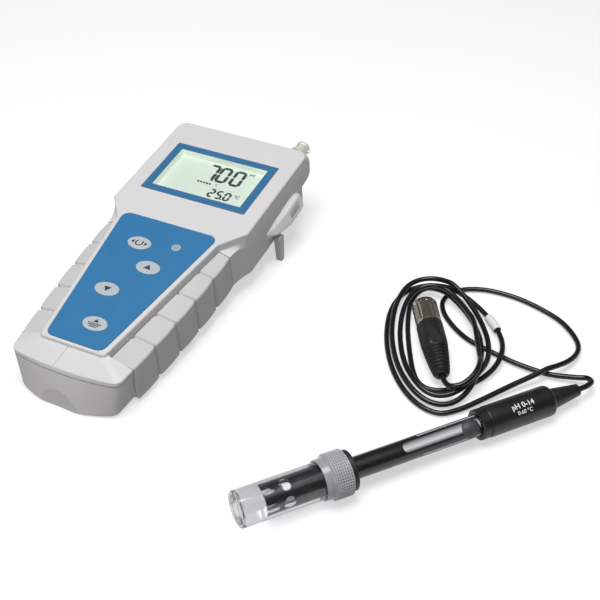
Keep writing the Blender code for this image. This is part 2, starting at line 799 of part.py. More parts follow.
def boss_top(y):
    """Where a screw boss joins the case above it: the shoulder on the grip, the top plate on the head."""
    if y < GRIP_END_Y:
        return SHOULDER_HEIGHT - GRIP_RECESS - BOSS_SET_IN
    return PLATE_UNDERSIDE + BOSS_SET_IN


def overlay_outline(margin=0.0):
    """The keypad overlay: wider towards the display, with round corners."""
    front, rear = OVERLAY_FRONT_Y - margin, OVERLAY_REAR_Y + margin
    radius = OVERLAY_CORNER + margin
    lean = (OVERLAY_REAR_WIDTH - OVERLAY_FRONT_WIDTH) / 2 / (OVERLAY_REAR_Y - OVERLAY_FRONT_Y)
    slant = math.degrees(math.atan(lean))
    spread = math.sqrt(1 + lean * lean)
    front_x = overlay_half(front + radius) + margin * spread - radius * spread
    rear_x = overlay_half(rear - radius) + margin * spread - radius * spread
    right = arc((front_x, front + radius), radius, -90, -slant)
    right += arc((rear_x, rear - radius), radius, -slant, 90)
    return right + [(-x, y) for x, y in reversed(right)]


def key_holes():
    """One tool for the holes that the keys and the indicator show through."""
    tool = bpy.data.objects.get("key_holes")
    if tool:
        return tool
    shape = bmesh.new()
    low, high = PLATE_UNDERSIDE - WALL, TOP_HEIGHT + WALL
    for place in KEY_PLACES.values():
        add_prism(shape, ellipse(place, KEY_WIDTH + 2 * RUN_GAP, KEY_LENGTH + 2 * RUN_GAP), low, high)
    wide = 2 * (INDICATOR_RADIUS + GAP)
    add_prism(shape, ellipse(INDICATOR_PLACE, wide, wide, SMALL_STEPS), low, high)
    return cutter("key_holes", shape, METER)


def grip_section(y, groove, swell):
    """The grip's section at y: a shoulder leaf and a side leaf, thinned in a groove."""
    thin = GROOVE_DEPTH if groove else 0.0
    outer = grip_half(y) + swell - thin
    wall = grip_half(y) - GRIP_THICKNESS
    root = plateau_half(y) + GAP
    edge = GRIP_EDGE - thin / 2
    return [
        (root, PLATEAU_FOOT_HEIGHT - thin),
        (outer - edge, SHOULDER_HEIGHT - thin),
        (outer, SHOULDER_HEIGHT - GRIP_EDGE),
        (outer, GRIP_BOTTOM + GRIP_EDGE),
        (outer - edge / 2, GRIP_BOTTOM),
        (wall, GRIP_BOTTOM),
        (wall, SHOULDER_HEIGHT - GRIP_THICKNESS),
        (root, PLATEAU_FOOT_HEIGHT - GRIP_THICKNESS),
    ]


def make_side_grip(side):
    """A ribbed grip: panels that swell a little, parted by grooves."""
    start, end = GRIP_START_Y + 2 * GAP, GRIP_END_Y - GAP
    panel = (GRIP_END_Y - GRIP_START_Y) / GRIP_PANELS
    stations = []
    for k in range(GRIP_PANELS):
        low = GRIP_START_Y + k * panel
        first = start if k == 0 else low + GROOVE_WIDTH / 2
        last = end if k == GRIP_PANELS - 1 else low + panel - GROOVE_WIDTH / 2
        if k:
            stations.append((low - GROOVE_WIDTH / 4, True, 0.0))
            stations.append((low + GROOVE_WIDTH / 4, True, 0.0))
        stations.append((first, False, 0.0))
        stations.append(((first + last) / 2, False, PANEL_SWELL))
        stations.append((last, False, 0.0))
    rings = []
    for y, groove, swell in stations:
        rings.append([(side * x, y, z) for x, z in grip_section(y, groove, swell)])
    name = "side_grip_right" if side > 0 else "side_grip_left"
    loft(name, rings, "grip_grey", METER)


def make_display():
    low = TOP_HEIGHT - BEZEL_RECESS + GAP
    high = low + BEZEL_THICKNESS
    bottom = PLATE_UNDERSIDE + GAP
    outer = rectangle(BEZEL_WIDTH, BEZEL_LENGTH, BEZEL_CENTRE_Y)
    window = rectangle(WINDOW_WIDTH, WINDOW_LENGTH, BEZEL_CENTRE_Y)
    lip = rectangle(WINDOW_WIDTH, WINDOW_LENGTH, BEZEL_CENTRE_Y, BEZEL_LIP)
    rings = [
        at_height(outer, low),
        at_height(outer, high),
        at_height(window, high),
        at_height(window, bottom),
        at_height(lip, bottom),
        at_height(lip, low),
    ]
    loft("display_bezel", rings, "blue", METER, closed=True)
    lens_top = PLATE_UNDERSIDE - GAP
    lens_low = lens_top - LENS_THICKNESS
    lens = rectangle(WINDOW_WIDTH, WINDOW_LENGTH, BEZEL_CENTRE_Y, LENS_MARGIN)
    prism("display_lens", lens, lens_low, lens_top, "clear", METER)
    panel = rectangle(WINDOW_WIDTH, WINDOW_LENGTH, BEZEL_CENTRE_Y, LCD_MARGIN)
    panel_top = lens_low - GAP
    prism("lcd_panel", panel, panel_top - LCD_THICKNESS, panel_top, "lcd_green", METER)


def make_keypad():
    low = TOP_HEIGHT - OVERLAY_RECESS + GAP
    overlay = prism("keypad_overlay", overlay_outline(), low, low + OVERLAY_THICKNESS, "blue", METER)
    cut(overlay, key_holes())
    wide = 2 * INDICATOR_RADIUS
    indicator = ellipse(INDICATOR_PLACE, wide, wide, SMALL_STEPS)
    foot = ellipse(INDICATOR_PLACE, wide + 4 * GAP, wide + 4 * GAP, SMALL_STEPS)
    rings = [
        at_height(foot, FLANGE_TOP - KEY_FLANGE_THICKNESS),
        at_height(foot, FLANGE_TOP),
        at_height(indicator, FLANGE_TOP),
        at_height(indicator, TOP_HEIGHT + OVERLAY_THICKNESS - OVERLAY_RECESS + GAP),
    ]
    loft("indicator_lens", rings, "clear", METER)
    for name, place in KEY_PLACES.items():
        make_key(name, place)


def make_key(name, place):
    """An oval key with a flange that keeps it in, its stem a travel above a switch on the board."""
    stem = 2 * KEY_STEM_RADIUS
    low = FLANGE_TOP - KEY_FLANGE_THICKNESS
    top = TOP_HEIGHT + KEY_PROUD
    flange = (KEY_WIDTH + 2 * KEY_FLANGE, KEY_LENGTH + 2 * KEY_FLANGE)
    crown = (KEY_WIDTH - 2 * KEY_PROUD, KEY_LENGTH - 2 * KEY_PROUD)
    origin = (0.0, 0.0)
    guide = new_empty(name + "_guide", Matrix.Translation((*place, 0.0)), METER)
    rings = [
        at_height(ellipse(origin, stem, stem), STEM_END),
        at_height(ellipse(origin, stem, stem), low),
        at_height(ellipse(origin, *flange), low),
        at_height(ellipse(origin, *flange), FLANGE_TOP),
        at_height(ellipse(origin, KEY_WIDTH, KEY_LENGTH), FLANGE_TOP),
        at_height(ellipse(origin, KEY_WIDTH, KEY_LENGTH), TOP_HEIGHT),
        at_height(ellipse(origin, *crown), top),
    ]
    loft(name, rings, "key_grey", guide)
    base = BOARD_TOP + GAP
    body_top = base + SWITCH_BODY_HEIGHT
    side = SWITCH_SIDE / math.sqrt(2)
    square = [(x + place[0], y + place[1], z) for x, y, z in circle(side, base, 4, 0.0, math.pi / 4)]
    switch = bmesh.new()
    add_loft(switch, [square, [(x, y, body_top) for x, y, _ in square]])
    part = finish(name.replace("key", "switch"), mesh_from(name, switch), "black", METER)
    shape = bmesh.new()
    add_cylinder(shape, PLUNGER_RADIUS, (*place, base + GAP), (*place, PLUNGER_TOP), SMALL_STEPS)
    join(part, cutter(name + "_plunger", shape, METER))


def make_board():
    half, tongue = BOARD_WIDTH / 2, BOARD_TONGUE_WIDTH / 2
    right = [
        (tongue, BOARD_FRONT_Y),
        (tongue, BOARD_STEP_Y),
        (half, BOARD_STEP_Y),
        (half, BOARD_REAR_Y),
    ]
    outline = right + [(-x, y) for x, y in reversed(right)]
    prism("main_board", outline, BOARD_BOTTOM, BOARD_TOP, "board_green", METER)


def make_batteries():
    inner = rectangle(TRAY_INNER_WIDTH, TRAY_INNER_LENGTH, BATTERY_CENTRE_Y)
    outer = rectangle(TRAY_INNER_WIDTH, TRAY_INNER_LENGTH, BATTERY_CENTRE_Y, TRAY_WALL)
    rings = [
        at_height(inner, TRAY_CEILING),
        at_height(inner, WALL + GAP),
        at_height(outer, WALL + GAP),
        at_height(outer, TRAY_CEILING + TRAY_WALL),
    ]
    loft("battery_tray", rings, "black", METER)
    door = rectangle(TRAY_INNER_WIDTH, TRAY_INNER_LENGTH, BATTERY_CENTRE_Y, -RUN_GAP)
    prism("battery_door", door, WALL - DOOR_THICKNESS, WALL, "case_grey", METER)
    half = TRAY_INNER_WIDTH / 2 - 2 * GAP
    for name, side in (("contact_front", -1), ("contact_rear", 1)):
        wall = BATTERY_CENTRE_Y + side * (TRAY_INNER_LENGTH / 2 - GAP)
        face = wall - side * CONTACT_THICKNESS
        low = CELL_CENTRE_Z - CONTACT_HEIGHT / 2
        box(
            name,
            (-half, min(wall, face), low),
            (half, max(wall, face), low + CONTACT_HEIGHT),
            "nickel",
            METER,
        )
    pitch = 2 * CELL_RADIUS + CELL_SPACING
    for k in range(CELL_COUNT):
        make_cell(k, (k - (CELL_COUNT - 1) / 2) * pitch, 1 if k % 2 else -1)


def make_cell(k, x, way):
    """One AA cell, its nipple towards the front or the rear in turn."""
    profile = [
        (0.0, CELL_LENGTH / 2 + CELL_NIPPLE_LENGTH),
        (CELL_NIPPLE_RADIUS, CELL_LENGTH / 2 + CELL_NIPPLE_LENGTH),
        (CELL_NIPPLE_RADIUS, CELL_LENGTH / 2),
        (CELL_RADIUS, CELL_LENGTH / 2),
        (CELL_RADIUS, -CELL_LENGTH / 2),
        (0.0, -CELL_LENGTH / 2),
    ]
    shift = -way * CELL_NIPPLE_LENGTH / 2
    place = Matrix.Translation((x, BATTERY_CENTRE_Y + shift, CELL_CENTRE_Z))
    seat = new_empty(f"cell_{k + 1}_seat", place @ Matrix.Rotation(-way * math.pi / 2, 4, "X"), METER)
    turned(f"battery_cell_{k + 1}", profile, "cell_jacket", seat, MEDIUM_STEPS)


def make_screws():
    for k, (x, y) in enumerate(screw_places()):
        profile = [
            (0.0, SCREW_HEAD_HEIGHT + SCREW_LENGTH),
            (SCREW_SHANK_RADIUS, SCREW_HEAD_HEIGHT + SCREW_LENGTH),
            (SCREW_SHANK_RADIUS, SCREW_HEAD_HEIGHT),
            (SCREW_HEAD_RADIUS, SCREW_HEAD_HEIGHT),
            (SCREW_HEAD_RADIUS, 0.0),
            (0.0, 0.0),
        ]
        seat = new_empty(f"screw_{k + 1}_seat", Matrix.Translation((x, y, GAP)), METER)
        turned(f"case_screw_{k + 1}", profile, "steel", seat, SMALL_STEPS)


def make_socket():
    """The coaxial socket: shell, insulator, contact and nut, along Y through the rear wall."""
    place = Matrix.Translation((SOCKET_X, METER_LENGTH, SOCKET_Z))
    axis = new_empty("socket_axis", place @ Matrix.Rotation(-math.pi / 2, 4, "X"), METER)
    flange_top = GAP + SOCKET_FLANGE_THICKNESS
    throat = INSULATOR_RADIUS + GAP
    profile = [
        (SOCKET_BORE, SOCKET_REACH),
        (SOCKET_RADIUS, SOCKET_REACH),
        (SOCKET_RADIUS, flange_top),
        (SOCKET_FLANGE_RADIUS, flange_top),
        (SOCKET_FLANGE_RADIUS, GAP),
        (SOCKET_THREAD_RADIUS, GAP),
        (SOCKET_THREAD_RADIUS, -SOCKET_THREAD_LENGTH),
        (throat, -SOCKET_THREAD_LENGTH),
        (throat, flange_top),
        (SOCKET_BORE, flange_top),
    ]
    socket = turned("bnc_socket", profile, "nickel", axis, closed=True)
    for side in (-1, 1):
        shape = bmesh.new()
        near = side * (SOCKET_BORE + SOCKET_RADIUS) / 2
        add_cylinder(shape, LUG_RADIUS, (near, 0, LUG_PLACE), (side * LUG_REACH, 0, LUG_PLACE), PIN_STEPS)
        join(socket, cutter(f"socket_lug_{side}", shape, axis))
    bore = CONTACT_PIN_RADIUS + GAP
    back = -SOCKET_THREAD_LENGTH - WALL / 2
    profile = [
        (bore, INSULATOR_REACH),
        (INSULATOR_RADIUS, INSULATOR_REACH),
        (INSULATOR_RADIUS, back),
        (bore, back),
    ]
    turned("bnc_insulator", profile, "white", axis, SMALL_STEPS, closed=True)
    profile = [
        (0.0, INSULATOR_REACH - GAP),
        (CONTACT_PIN_RADIUS, INSULATOR_REACH - GAP),
        (CONTACT_PIN_RADIUS, back - WALL),
        (0.0, back - WALL),
    ]
    turned("bnc_contact", profile, "gold", axis, PIN_STEPS)
    top = -REAR_LEAN - WALL - GAP
    low = top - LOCKNUT_THICKNESS
    hexagon = [
        (x * stretch(k), y * stretch(k), 0.0)
        for k, (x, y, _) in enumerate(circle(LOCKNUT_RADIUS, 0.0, ROUND_STEPS))
    ]
    hole = circle(SOCKET_THREAD_RADIUS + GAP, 0.0, ROUND_STEPS)
    rings = [
        at_height([p[:2] for p in hexagon], low),
        at_height([p[:2] for p in hexagon], top),
        at_height([p[:2] for p in hole], top),
        at_height([p[:2] for p in hole], low),
    ]
    loft("bnc_locknut", rings, "nickel", axis, closed=True)


def stretch(k):
    """How far the k-th of ROUND_STEPS points on a hexagon lies out, against its corners."""
    angle = (2 * math.pi * k / ROUND_STEPS + math.pi / 6) % (math.pi / 3) - math.pi / 6
    return math.cos(math.pi / 6) / math.cos(angle)


def table_z(y):
    """Height of the table under the tilted meter, in the meter's own frame."""
    return -FOOT_PROUD - (y - FOOT_Y) * math.tan(TILT)


def make_stand():
    """A bail with a bar in the base's groove and a leg outside each wall; the rest pose is open."""
    hinge = new_empty("stand_hinge", Matrix.Translation((0, HINGE_Y, HINGE_Z)), METER)
    inner = HEAD_HALF + LEG_CLEARANCE
    outer = inner + LEG_THICKNESS
    shape = bmesh.new()
    end = (inner + outer) / 2
    add_cylinder(shape, STAND_BAR_RADIUS, (-end, 0, 0), (end, 0, 0), SMALL_STEPS)
    stand = finish("tilt_stand", mesh_from("tilt_stand", shape), "case_grey", hinge)
    half = LEG_FOOT_WIDTH / 2
    section = arc((0.0, 0.0), LEG_TOP_RADIUS, 0, 180, 2 * ARC_STEPS)
    section += [(-half, table_z(HINGE_Y - half) - HINGE_Z), (half, table_z(HINGE_Y + half) - HINGE_Z)]
    for side in (-1, 1):
        shape = bmesh.new()
        add_loft(shape, [[(side * x, y, z) for y, z in section] for x in (inner, outer)])
        join(stand, cutter(f"stand_leg_{side}", shape, hinge))


def make_foot():
    """A rubber strip under the front edge, cut level with the table."""
    half = FOOT_LENGTH / 2
    front, rear = FOOT_Y - half, FOOT_Y + half
    section = [(front, -GAP), (front, table_z(front)), (rear, table_z(rear)), (rear, -GAP)]
    rings = [[(x, y, z) for y, z in section] for x in (-FOOT_WIDTH / 2, FOOT_WIDTH / 2)]
    loft("front_foot", rings, "rubber", METER)


# Electrode


def make_bottle():
    inner = BOTTLE_RADIUS - BOTTLE_WALL
    profile = [
        (0.0, BOTTLE_FLOOR),
        (inner, BOTTLE_FLOOR),
        (inner, BOTTLE_LENGTH),
        (BOTTLE_RADIUS, BOTTLE_LENGTH),
        (BOTTLE_RADIUS, BOTTLE_WALL / 2),
        (BOTTLE_RADIUS - BOTTLE_WALL / 2, 0.0),
        (0.0, 0.0),
    ]
    turned("storage_bottle", profile, "clear", ELECTRODE)
    bore = BOTTLE_RADIUS + RUN_GAP
    hole = TUBE_RADIUS + SEAL_NECK + 2 * RUN_GAP
    steps = 2 * KNURL_COUNT
    knurl_low = COLLAR_START + COLLAR_CONE
    rings = [
        circle(bore + BOTTLE_WALL / 2, COLLAR_START, steps),
        circle(COLLAR_RADIUS - KNURL_DEPTH, knurl_low, steps),
        circle(COLLAR_RADIUS, knurl_low + KNURL_DEPTH, steps, KNURL_DEPTH),
        circle(COLLAR_RADIUS, COLLAR_END - 2 * KNURL_DEPTH, steps, KNURL_DEPTH),
        circle(COLLAR_RADIUS - 2 * KNURL_DEPTH, COLLAR_END, steps),
        circle(hole, COLLAR_END, steps),
        circle(hole, COLLAR_END - COLLAR_FACE, steps),
        circle(bore, COLLAR_END - COLLAR_FACE, steps),
        circle(bore, COLLAR_START, steps),
    ]
    loft("bottle_collar", rings, "clear", ELECTRODE, closed=True)
    low = COLLAR_END - COLLAR_FACE
    inside = TUBE_RADIUS + RUN_GAP
    profile = [
        (inside, SEAL_END),
        (SEAL_RADIUS - SEAL_THICKNESS / 4, SEAL_END),
        (SEAL_RADIUS, SEAL_END - SEAL_THICKNESS / 4),
        (SEAL_RADIUS, COLLAR_END + GAP),
        (inside + SEAL_NECK, COLLAR_END + GAP),
        (inside + SEAL_NECK, low),
        (inside, low),
    ]
    turned("bottle_seal", profile, "rubber", ELECTRODE, closed=True)


def make_electrode_body():
    inner = TUBE_RADIUS - TUBE_WALL
    profile = [(inner, TUBE_END), (TUBE_RADIUS, TUBE_END), (TUBE_RADIUS, TUBE_START), (inner, TUBE_START)]
    tube = turned("electrode_tube", profile, "black", ELECTRODE, closed=True)
    half, reach = GUARD_SLOT_WIDTH / 2, 2 * TUBE_RADIUS
    for k, (x, y) in enumerate(((half, reach), (reach, half))):
        shape = bmesh.new()
        add_box(shape, (-x, -y, 0), (x, y, TUBE_START + GUARD_SLOT_DEPTH))
        cut(tube, cutter(f"guard_slot_{k}", shape, ELECTRODE))
    roll = Matrix.Rotation(FILL_PLUG_ROLL, 4, "Z") @ Matrix.Rotation(math.pi / 2, 4, "Y")
    port = new_empty("fill_port", Matrix.Translation((0, 0, FILL_PLUG_PLACE)) @ roll, ELECTRODE)
    shape = bmesh.new()
    add_cylinder(shape, FILL_HOLE_RADIUS, (0, 0, inner / 2), (0, 0, 2 * TUBE_RADIUS), SMALL_STEPS)
    cut(tube, cutter("fill_hole", shape, port))
    seat = TUBE_RADIUS + GAP
    shank = FILL_HOLE_RADIUS - RUN_GAP
    profile = [
        (0.0, seat + FILL_PLUG_HEIGHT),
        (FILL_PLUG_RADIUS / 2, seat + FILL_PLUG_HEIGHT),
        (FILL_PLUG_RADIUS, seat + FILL_PLUG_HEIGHT / 2),
        (FILL_PLUG_RADIUS, seat),
        (shank, seat),
        (shank, inner - TUBE_WALL / 2),
        (0.0, inner - TUBE_WALL / 2),
    ]
    turned("fill_plug", profile, "rubber", port, SMALL_STEPS)
    centre = BULB_START + BULB_RADIUS
    waist = math.degrees(math.asin(STEM_RADIUS / BULB_RADIUS))
    bulb = arc((0.0, centre), BULB_RADIUS, 90 - waist, -90, 2 * ARC_STEPS)
    bulb[-1] = (0.0, BULB_START)
    profile = [(0.0, STEM_TOP), (STEM_RADIUS, STEM_TOP)] + bulb
    turned("glass_electrode", profile, "glass", ELECTRODE, MEDIUM_STEPS)
    ring = [
        (STEM_RADIUS + GAP, JUNCTION_START + JUNCTION_LENGTH),
        (inner - GAP, JUNCTION_START + JUNCTION_LENGTH),
        (inner - GAP, JUNCTION_START),
        (STEM_RADIUS + GAP, JUNCTION_START),
    ]
    turned("junction_ring", ring, "white", ELECTRODE, MEDIUM_STEPS, closed=True)
    bore = TUBE_RADIUS + GAP
    profile = [
        (0.0, CAP_END),
        (CAP_RADIUS - CAP_ROUND, CAP_END),
        (CAP_RADIUS - CAP_ROUND / 4, CAP_END - CAP_ROUND / 3),
        (CAP_RADIUS, CAP_END - CAP_ROUND),
        (CAP_RADIUS, CAP_START + CAP_NECK_LENGTH + CAP_ROUND / 2),
        (CAP_NECK_RADIUS, CAP_START + CAP_NECK_LENGTH),
        (CAP_NECK_RADIUS, CAP_START),
        (bore, CAP_START),
        (bore, TUBE_END + GAP),
        (STEM_RADIUS + GAP, TUBE_END + GAP),
        (STEM_RADIUS + GAP, STEM_TOP + GAP),
        (0.0, STEM_TOP + GAP),
    ]
    turned("electrode_cap", profile, "black", ELECTRODE)
    low = CAP_END + GAP
    profile = [
        (0.0, RELIEF_END),
        (RELIEF_TIP_RADIUS, RELIEF_END),
        (RELIEF_RADIUS, low + CAP_ROUND),
        (RELIEF_RADIUS, low),
        (0.0, low),
    ]
    turned("strain_relief", profile, "rubber", ELECTRODE, MEDIUM_STEPS)


def electrode_matrix():
    """Lays the electrode's axis so that the collar's rim and the cap's far end touch the table."""
    rim = COLLAR_START + COLLAR_CONE + KNURL_DEPTH
    far = CAP_END - CAP_ROUND
    slope = math.atan2(COLLAR_RADIUS - CAP_RADIUS, far - rim)
    along = Vector(
        (
            math.cos(ELECTRODE_AZIMUTH) * math.cos(slope),
            math.sin(ELECTRODE_AZIMUTH) * math.cos(slope),
            -math.sin(slope),
        )
    )
    up = (Vector((0, 0, 1)) - along * along.z).normalized()
    aside = along.cross(up)
    turn = Matrix((up, aside, along)).transposed().to_4x4()
    height = COLLAR_RADIUS * math.cos(slope) + rim * math.sin(slope)
    return Matrix.Translation((*ELECTRODE_PLACE, height)) @ turn


# Cable and plug


def from_coil(u, v):
    turn = Matrix.Rotation(COIL_YAW, 2)
    place = turn @ Vector((u, v))
    return (COIL_PLACE[0] + place.x, COIL_PLACE[1] + place.y)


def plug_matrix():
    """The plug lies on its boot, its axis level and pointing away."""
    x, y = from_coil(PLUG_U, PLUG_V)
    yaw = COIL_YAW + PLUG_YAW
    level = Matrix.Rotation(-math.pi / 2, 4, "X")
    return Matrix.Translation((x, y, BOOT_RADIUS)) @ Matrix.Rotation(yaw, 4, "Z") @ level


def reach_at(phase, first, second, shift):
    """Blends the reaches of successive half turns, which alternate between two lists."""
    steps = [value for pair in zip(first, second) for value in pair]
    place = min(max((phase - shift) * 2, 0.0), len(steps) - 1.001)
    k = int(place)
    share = (1 - math.cos(math.pi * (place - k))) / 2
    return steps[k] + (steps[k + 1] - steps[k]) * share


def coil_point(phase):
    """A point of the coil: near side at whole turns, then left, far side and right."""
    angle = -math.pi / 2 - 2 * math.pi * phase
    across = reach_at(phase, COIL_LEFT, COIL_RIGHT, COIL_SIDE_PHASE) * math.cos(angle)
    away = reach_at(phase, COIL_NEAR, COIL_FAR, 0.0) * math.sin(angle)
    return from_coil(COIL_CENTRE_U + across, away)


def smooth_path(points, steps):
    """Samples a Catmull-Rom curve, steps to each span."""
    ends = np.vstack([2 * points[0] - points[1], points, 2 * points[-1] - points[-2]])
    t = np.linspace(0, 1, steps, endpoint=False)[:, None]
    spans = []
    for a, b, c, d in zip(ends, ends[1:], ends[2:], ends[3:]):
        bend = (2 * a - 5 * b + 4 * c - d) * t**2 + (3 * b - a - 3 * c + d) * t**3
        spans.append(b + ((c - a) * t + bend) / 2)
    return np.vstack(spans + [points[-1:]])


def lay_heights(plan, along, floor):
    """Lays the cable down in order, each stretch over the earlier ones in a long low hump."""
    width = 2 * CABLE_RADIUS + CABLE_CLEARANCE
    apart = np.linalg.norm(plan[:, None] - plan[None], axis=2)
    later = along[:, None] - along[None] > 4 * width
    above, below = np.nonzero((apart < width) & later)
    rise = np.sqrt(width**2 - apart[above, below] ** 2)
    height = floor.copy()
    for _ in range(LAY_PASSES):
        height[1:-1] = (height[:-2] + 2 * height[1:-1] + height[2:]) / 4
        height = np.maximum(height, floor)
        np.maximum.at(height, above, height[below] + rise)
    return height


def cable_route():
    """The cable's points in three dimensions, and the index where the coil starts."""
    spans = SPAN_STEPS
    start = electrode_matrix() @ Vector((0, 0, RELIEF_END + GAP))
    out = (electrode_matrix().to_3x3() @ Vector((0, 0, 1))).normalized()
    plug = plug_matrix()
    end = plug @ Vector((0, 0, -GAP))
    back = (plug.to_3x3() @ Vector((0, 0, -1))).normalized()
    straight = 2 * CABLE_RADIUS
    controls = [start.xy, (start + out * straight).xy]
    controls += [from_coil(u, v) for u, v in LEAD_POINTS]
    coil_start = len(controls)
    turns = int(COIL_LAST_PHASE * POINTS_PER_TURN) + 1
    controls += [coil_point(k / POINTS_PER_TURN) for k in range(turns)]
    coil_end = len(controls) - 1
    controls += [from_coil(u, v) for u, v in TAIL_POINTS]
    controls += [(end + back * straight).xy, end.xy]
    plan = smooth_path(np.array([tuple(point) for point in controls]), spans)
    along = np.concatenate([[0], np.cumsum(np.linalg.norm(np.diff(plan, axis=0), axis=1))])
    floor = np.full(len(plan), CABLE_RADIUS)
    for height, distance in ((start.z, along), (end.z, along[-1] - along)):
        share = np.clip((distance - straight) / CABLE_EASE, 0, 1)
        ease = 1 - share * share * (3 - 2 * share)
        floor = np.maximum(floor, CABLE_RADIUS + (height - CABLE_RADIUS) * ease)
    marker = along[int((coil_start + MARKER_PHASE * POINTS_PER_TURN) * spans)]
    near = np.clip(1 - (abs(along - marker) - MARKER_LENGTH / 2) / CABLE_EASE, 0, 1)
    floor = np.maximum(floor, CABLE_RADIUS + (MARKER_RADIUS - CABLE_RADIUS + GAP) * near)
    height = lay_heights(plan, along, floor)
    route = np.column_stack([plan, height])
    wanted = [
        i
        for i in range(len(route))
        if i % spans == 0 or (i % (spans // 2) == 0 and not coil_start * spans < i < coil_end * spans)
    ]
    split = wanted.index(coil_start * spans)
    return route[wanted], split, marker


def least_gap(points):
    """The least distance between the cable's surface and itself, on points along its axis."""
    shares = np.linspace(0, 1, GAP_SAMPLES, endpoint=False)
    finer = np.vstack([a + (b - a) * t for a, b in zip(points, points[1:]) for t in shares])
    along = np.concatenate([[0], np.cumsum(np.linalg.norm(np.diff(finer, axis=0), axis=1))])
    apart = np.linalg.norm(finer[:, None] - finer[None], axis=2)
    apart[abs(along[:, None] - along[None]) < 8 * CABLE_RADIUS] = 1.0
    return apart.min() - 2 * CABLE_RADIUS


def tube(name, points, bevel, material):
    """A round tube along a row of points."""
    curve = bpy.data.curves.new(name, "CURVE")
    curve.dimensions = "3D"
    curve.bevel_depth = CABLE_RADIUS
    curve.bevel_resolution = bevel
    curve.use_fill_caps = True
    spline = curve.splines.new("POLY")
    spline.points.add(len(points) - 1)
    for point, place in zip(spline.points, points):
        point.co = (*place, 1.0)
    curve.materials.append(new_material(material))
    part = bpy.data.objects.new(name, curve)
    PARTS.objects.link(part)
    return part


def shortened(points, first, last):
    """Draws the ends of a row of points in by the given distances."""
    row = points.copy()
    for end, inner, amount in ((0, 1, first), (-1, -2, last)):
        way = row[inner] - row[end]
        row[end] = row[end] + way / np.linalg.norm(way) * amount
    return row


def make_cable():
    route, split, marker = cable_route()
    length = np.linalg.norm(np.diff(route, axis=0), axis=1).sum()
    print(f"cable: {length:.3f} m, least gap to itself {1000 * least_gap(route):.2f} mm")
    tube("cable_lead", shortened(route[: split + 1], 0.0, 2 * GAP), LEAD_BEVEL_STEPS, "cable_black")
    tube("cable_coil", shortened(route[split:], 2 * GAP, 0.0), COIL_BEVEL_STEPS, "cable_black")
    make_marker(route, marker)


def make_marker(route, middle):
    """A shrink sleeve on the cable: a short tube that follows it."""
    along = np.concatenate([[0], np.cumsum(np.linalg.norm(np.diff(route[:, :2], axis=0), axis=1))])
    stations = np.linspace(middle - MARKER_LENGTH / 2, middle + MARKER_LENGTH / 2, MARKER_RINGS)
    centres = np.stack([np.interp(stations, along, route[:, k]) for k in range(3)], axis=1)
    frames = []
    for centre, way in zip(centres, np.gradient(centres, axis=0)):
        turn = Vector(way).to_track_quat("Z", "Y").to_matrix().to_4x4()
        frames.append(Matrix.Translation(centre) @ turn)
    outer = [[frame @ Vector(p) for p in circle(MARKER_RADIUS, 0.0, SMALL_STEPS)] for frame in frames]
    inner = [[frame @ Vector(p) for p in circle(MARKER_BORE, 0.0, SMALL_STEPS)] for frame in frames]
    loft("cable_marker", outer + inner[::-1], "white", None, closed=True)


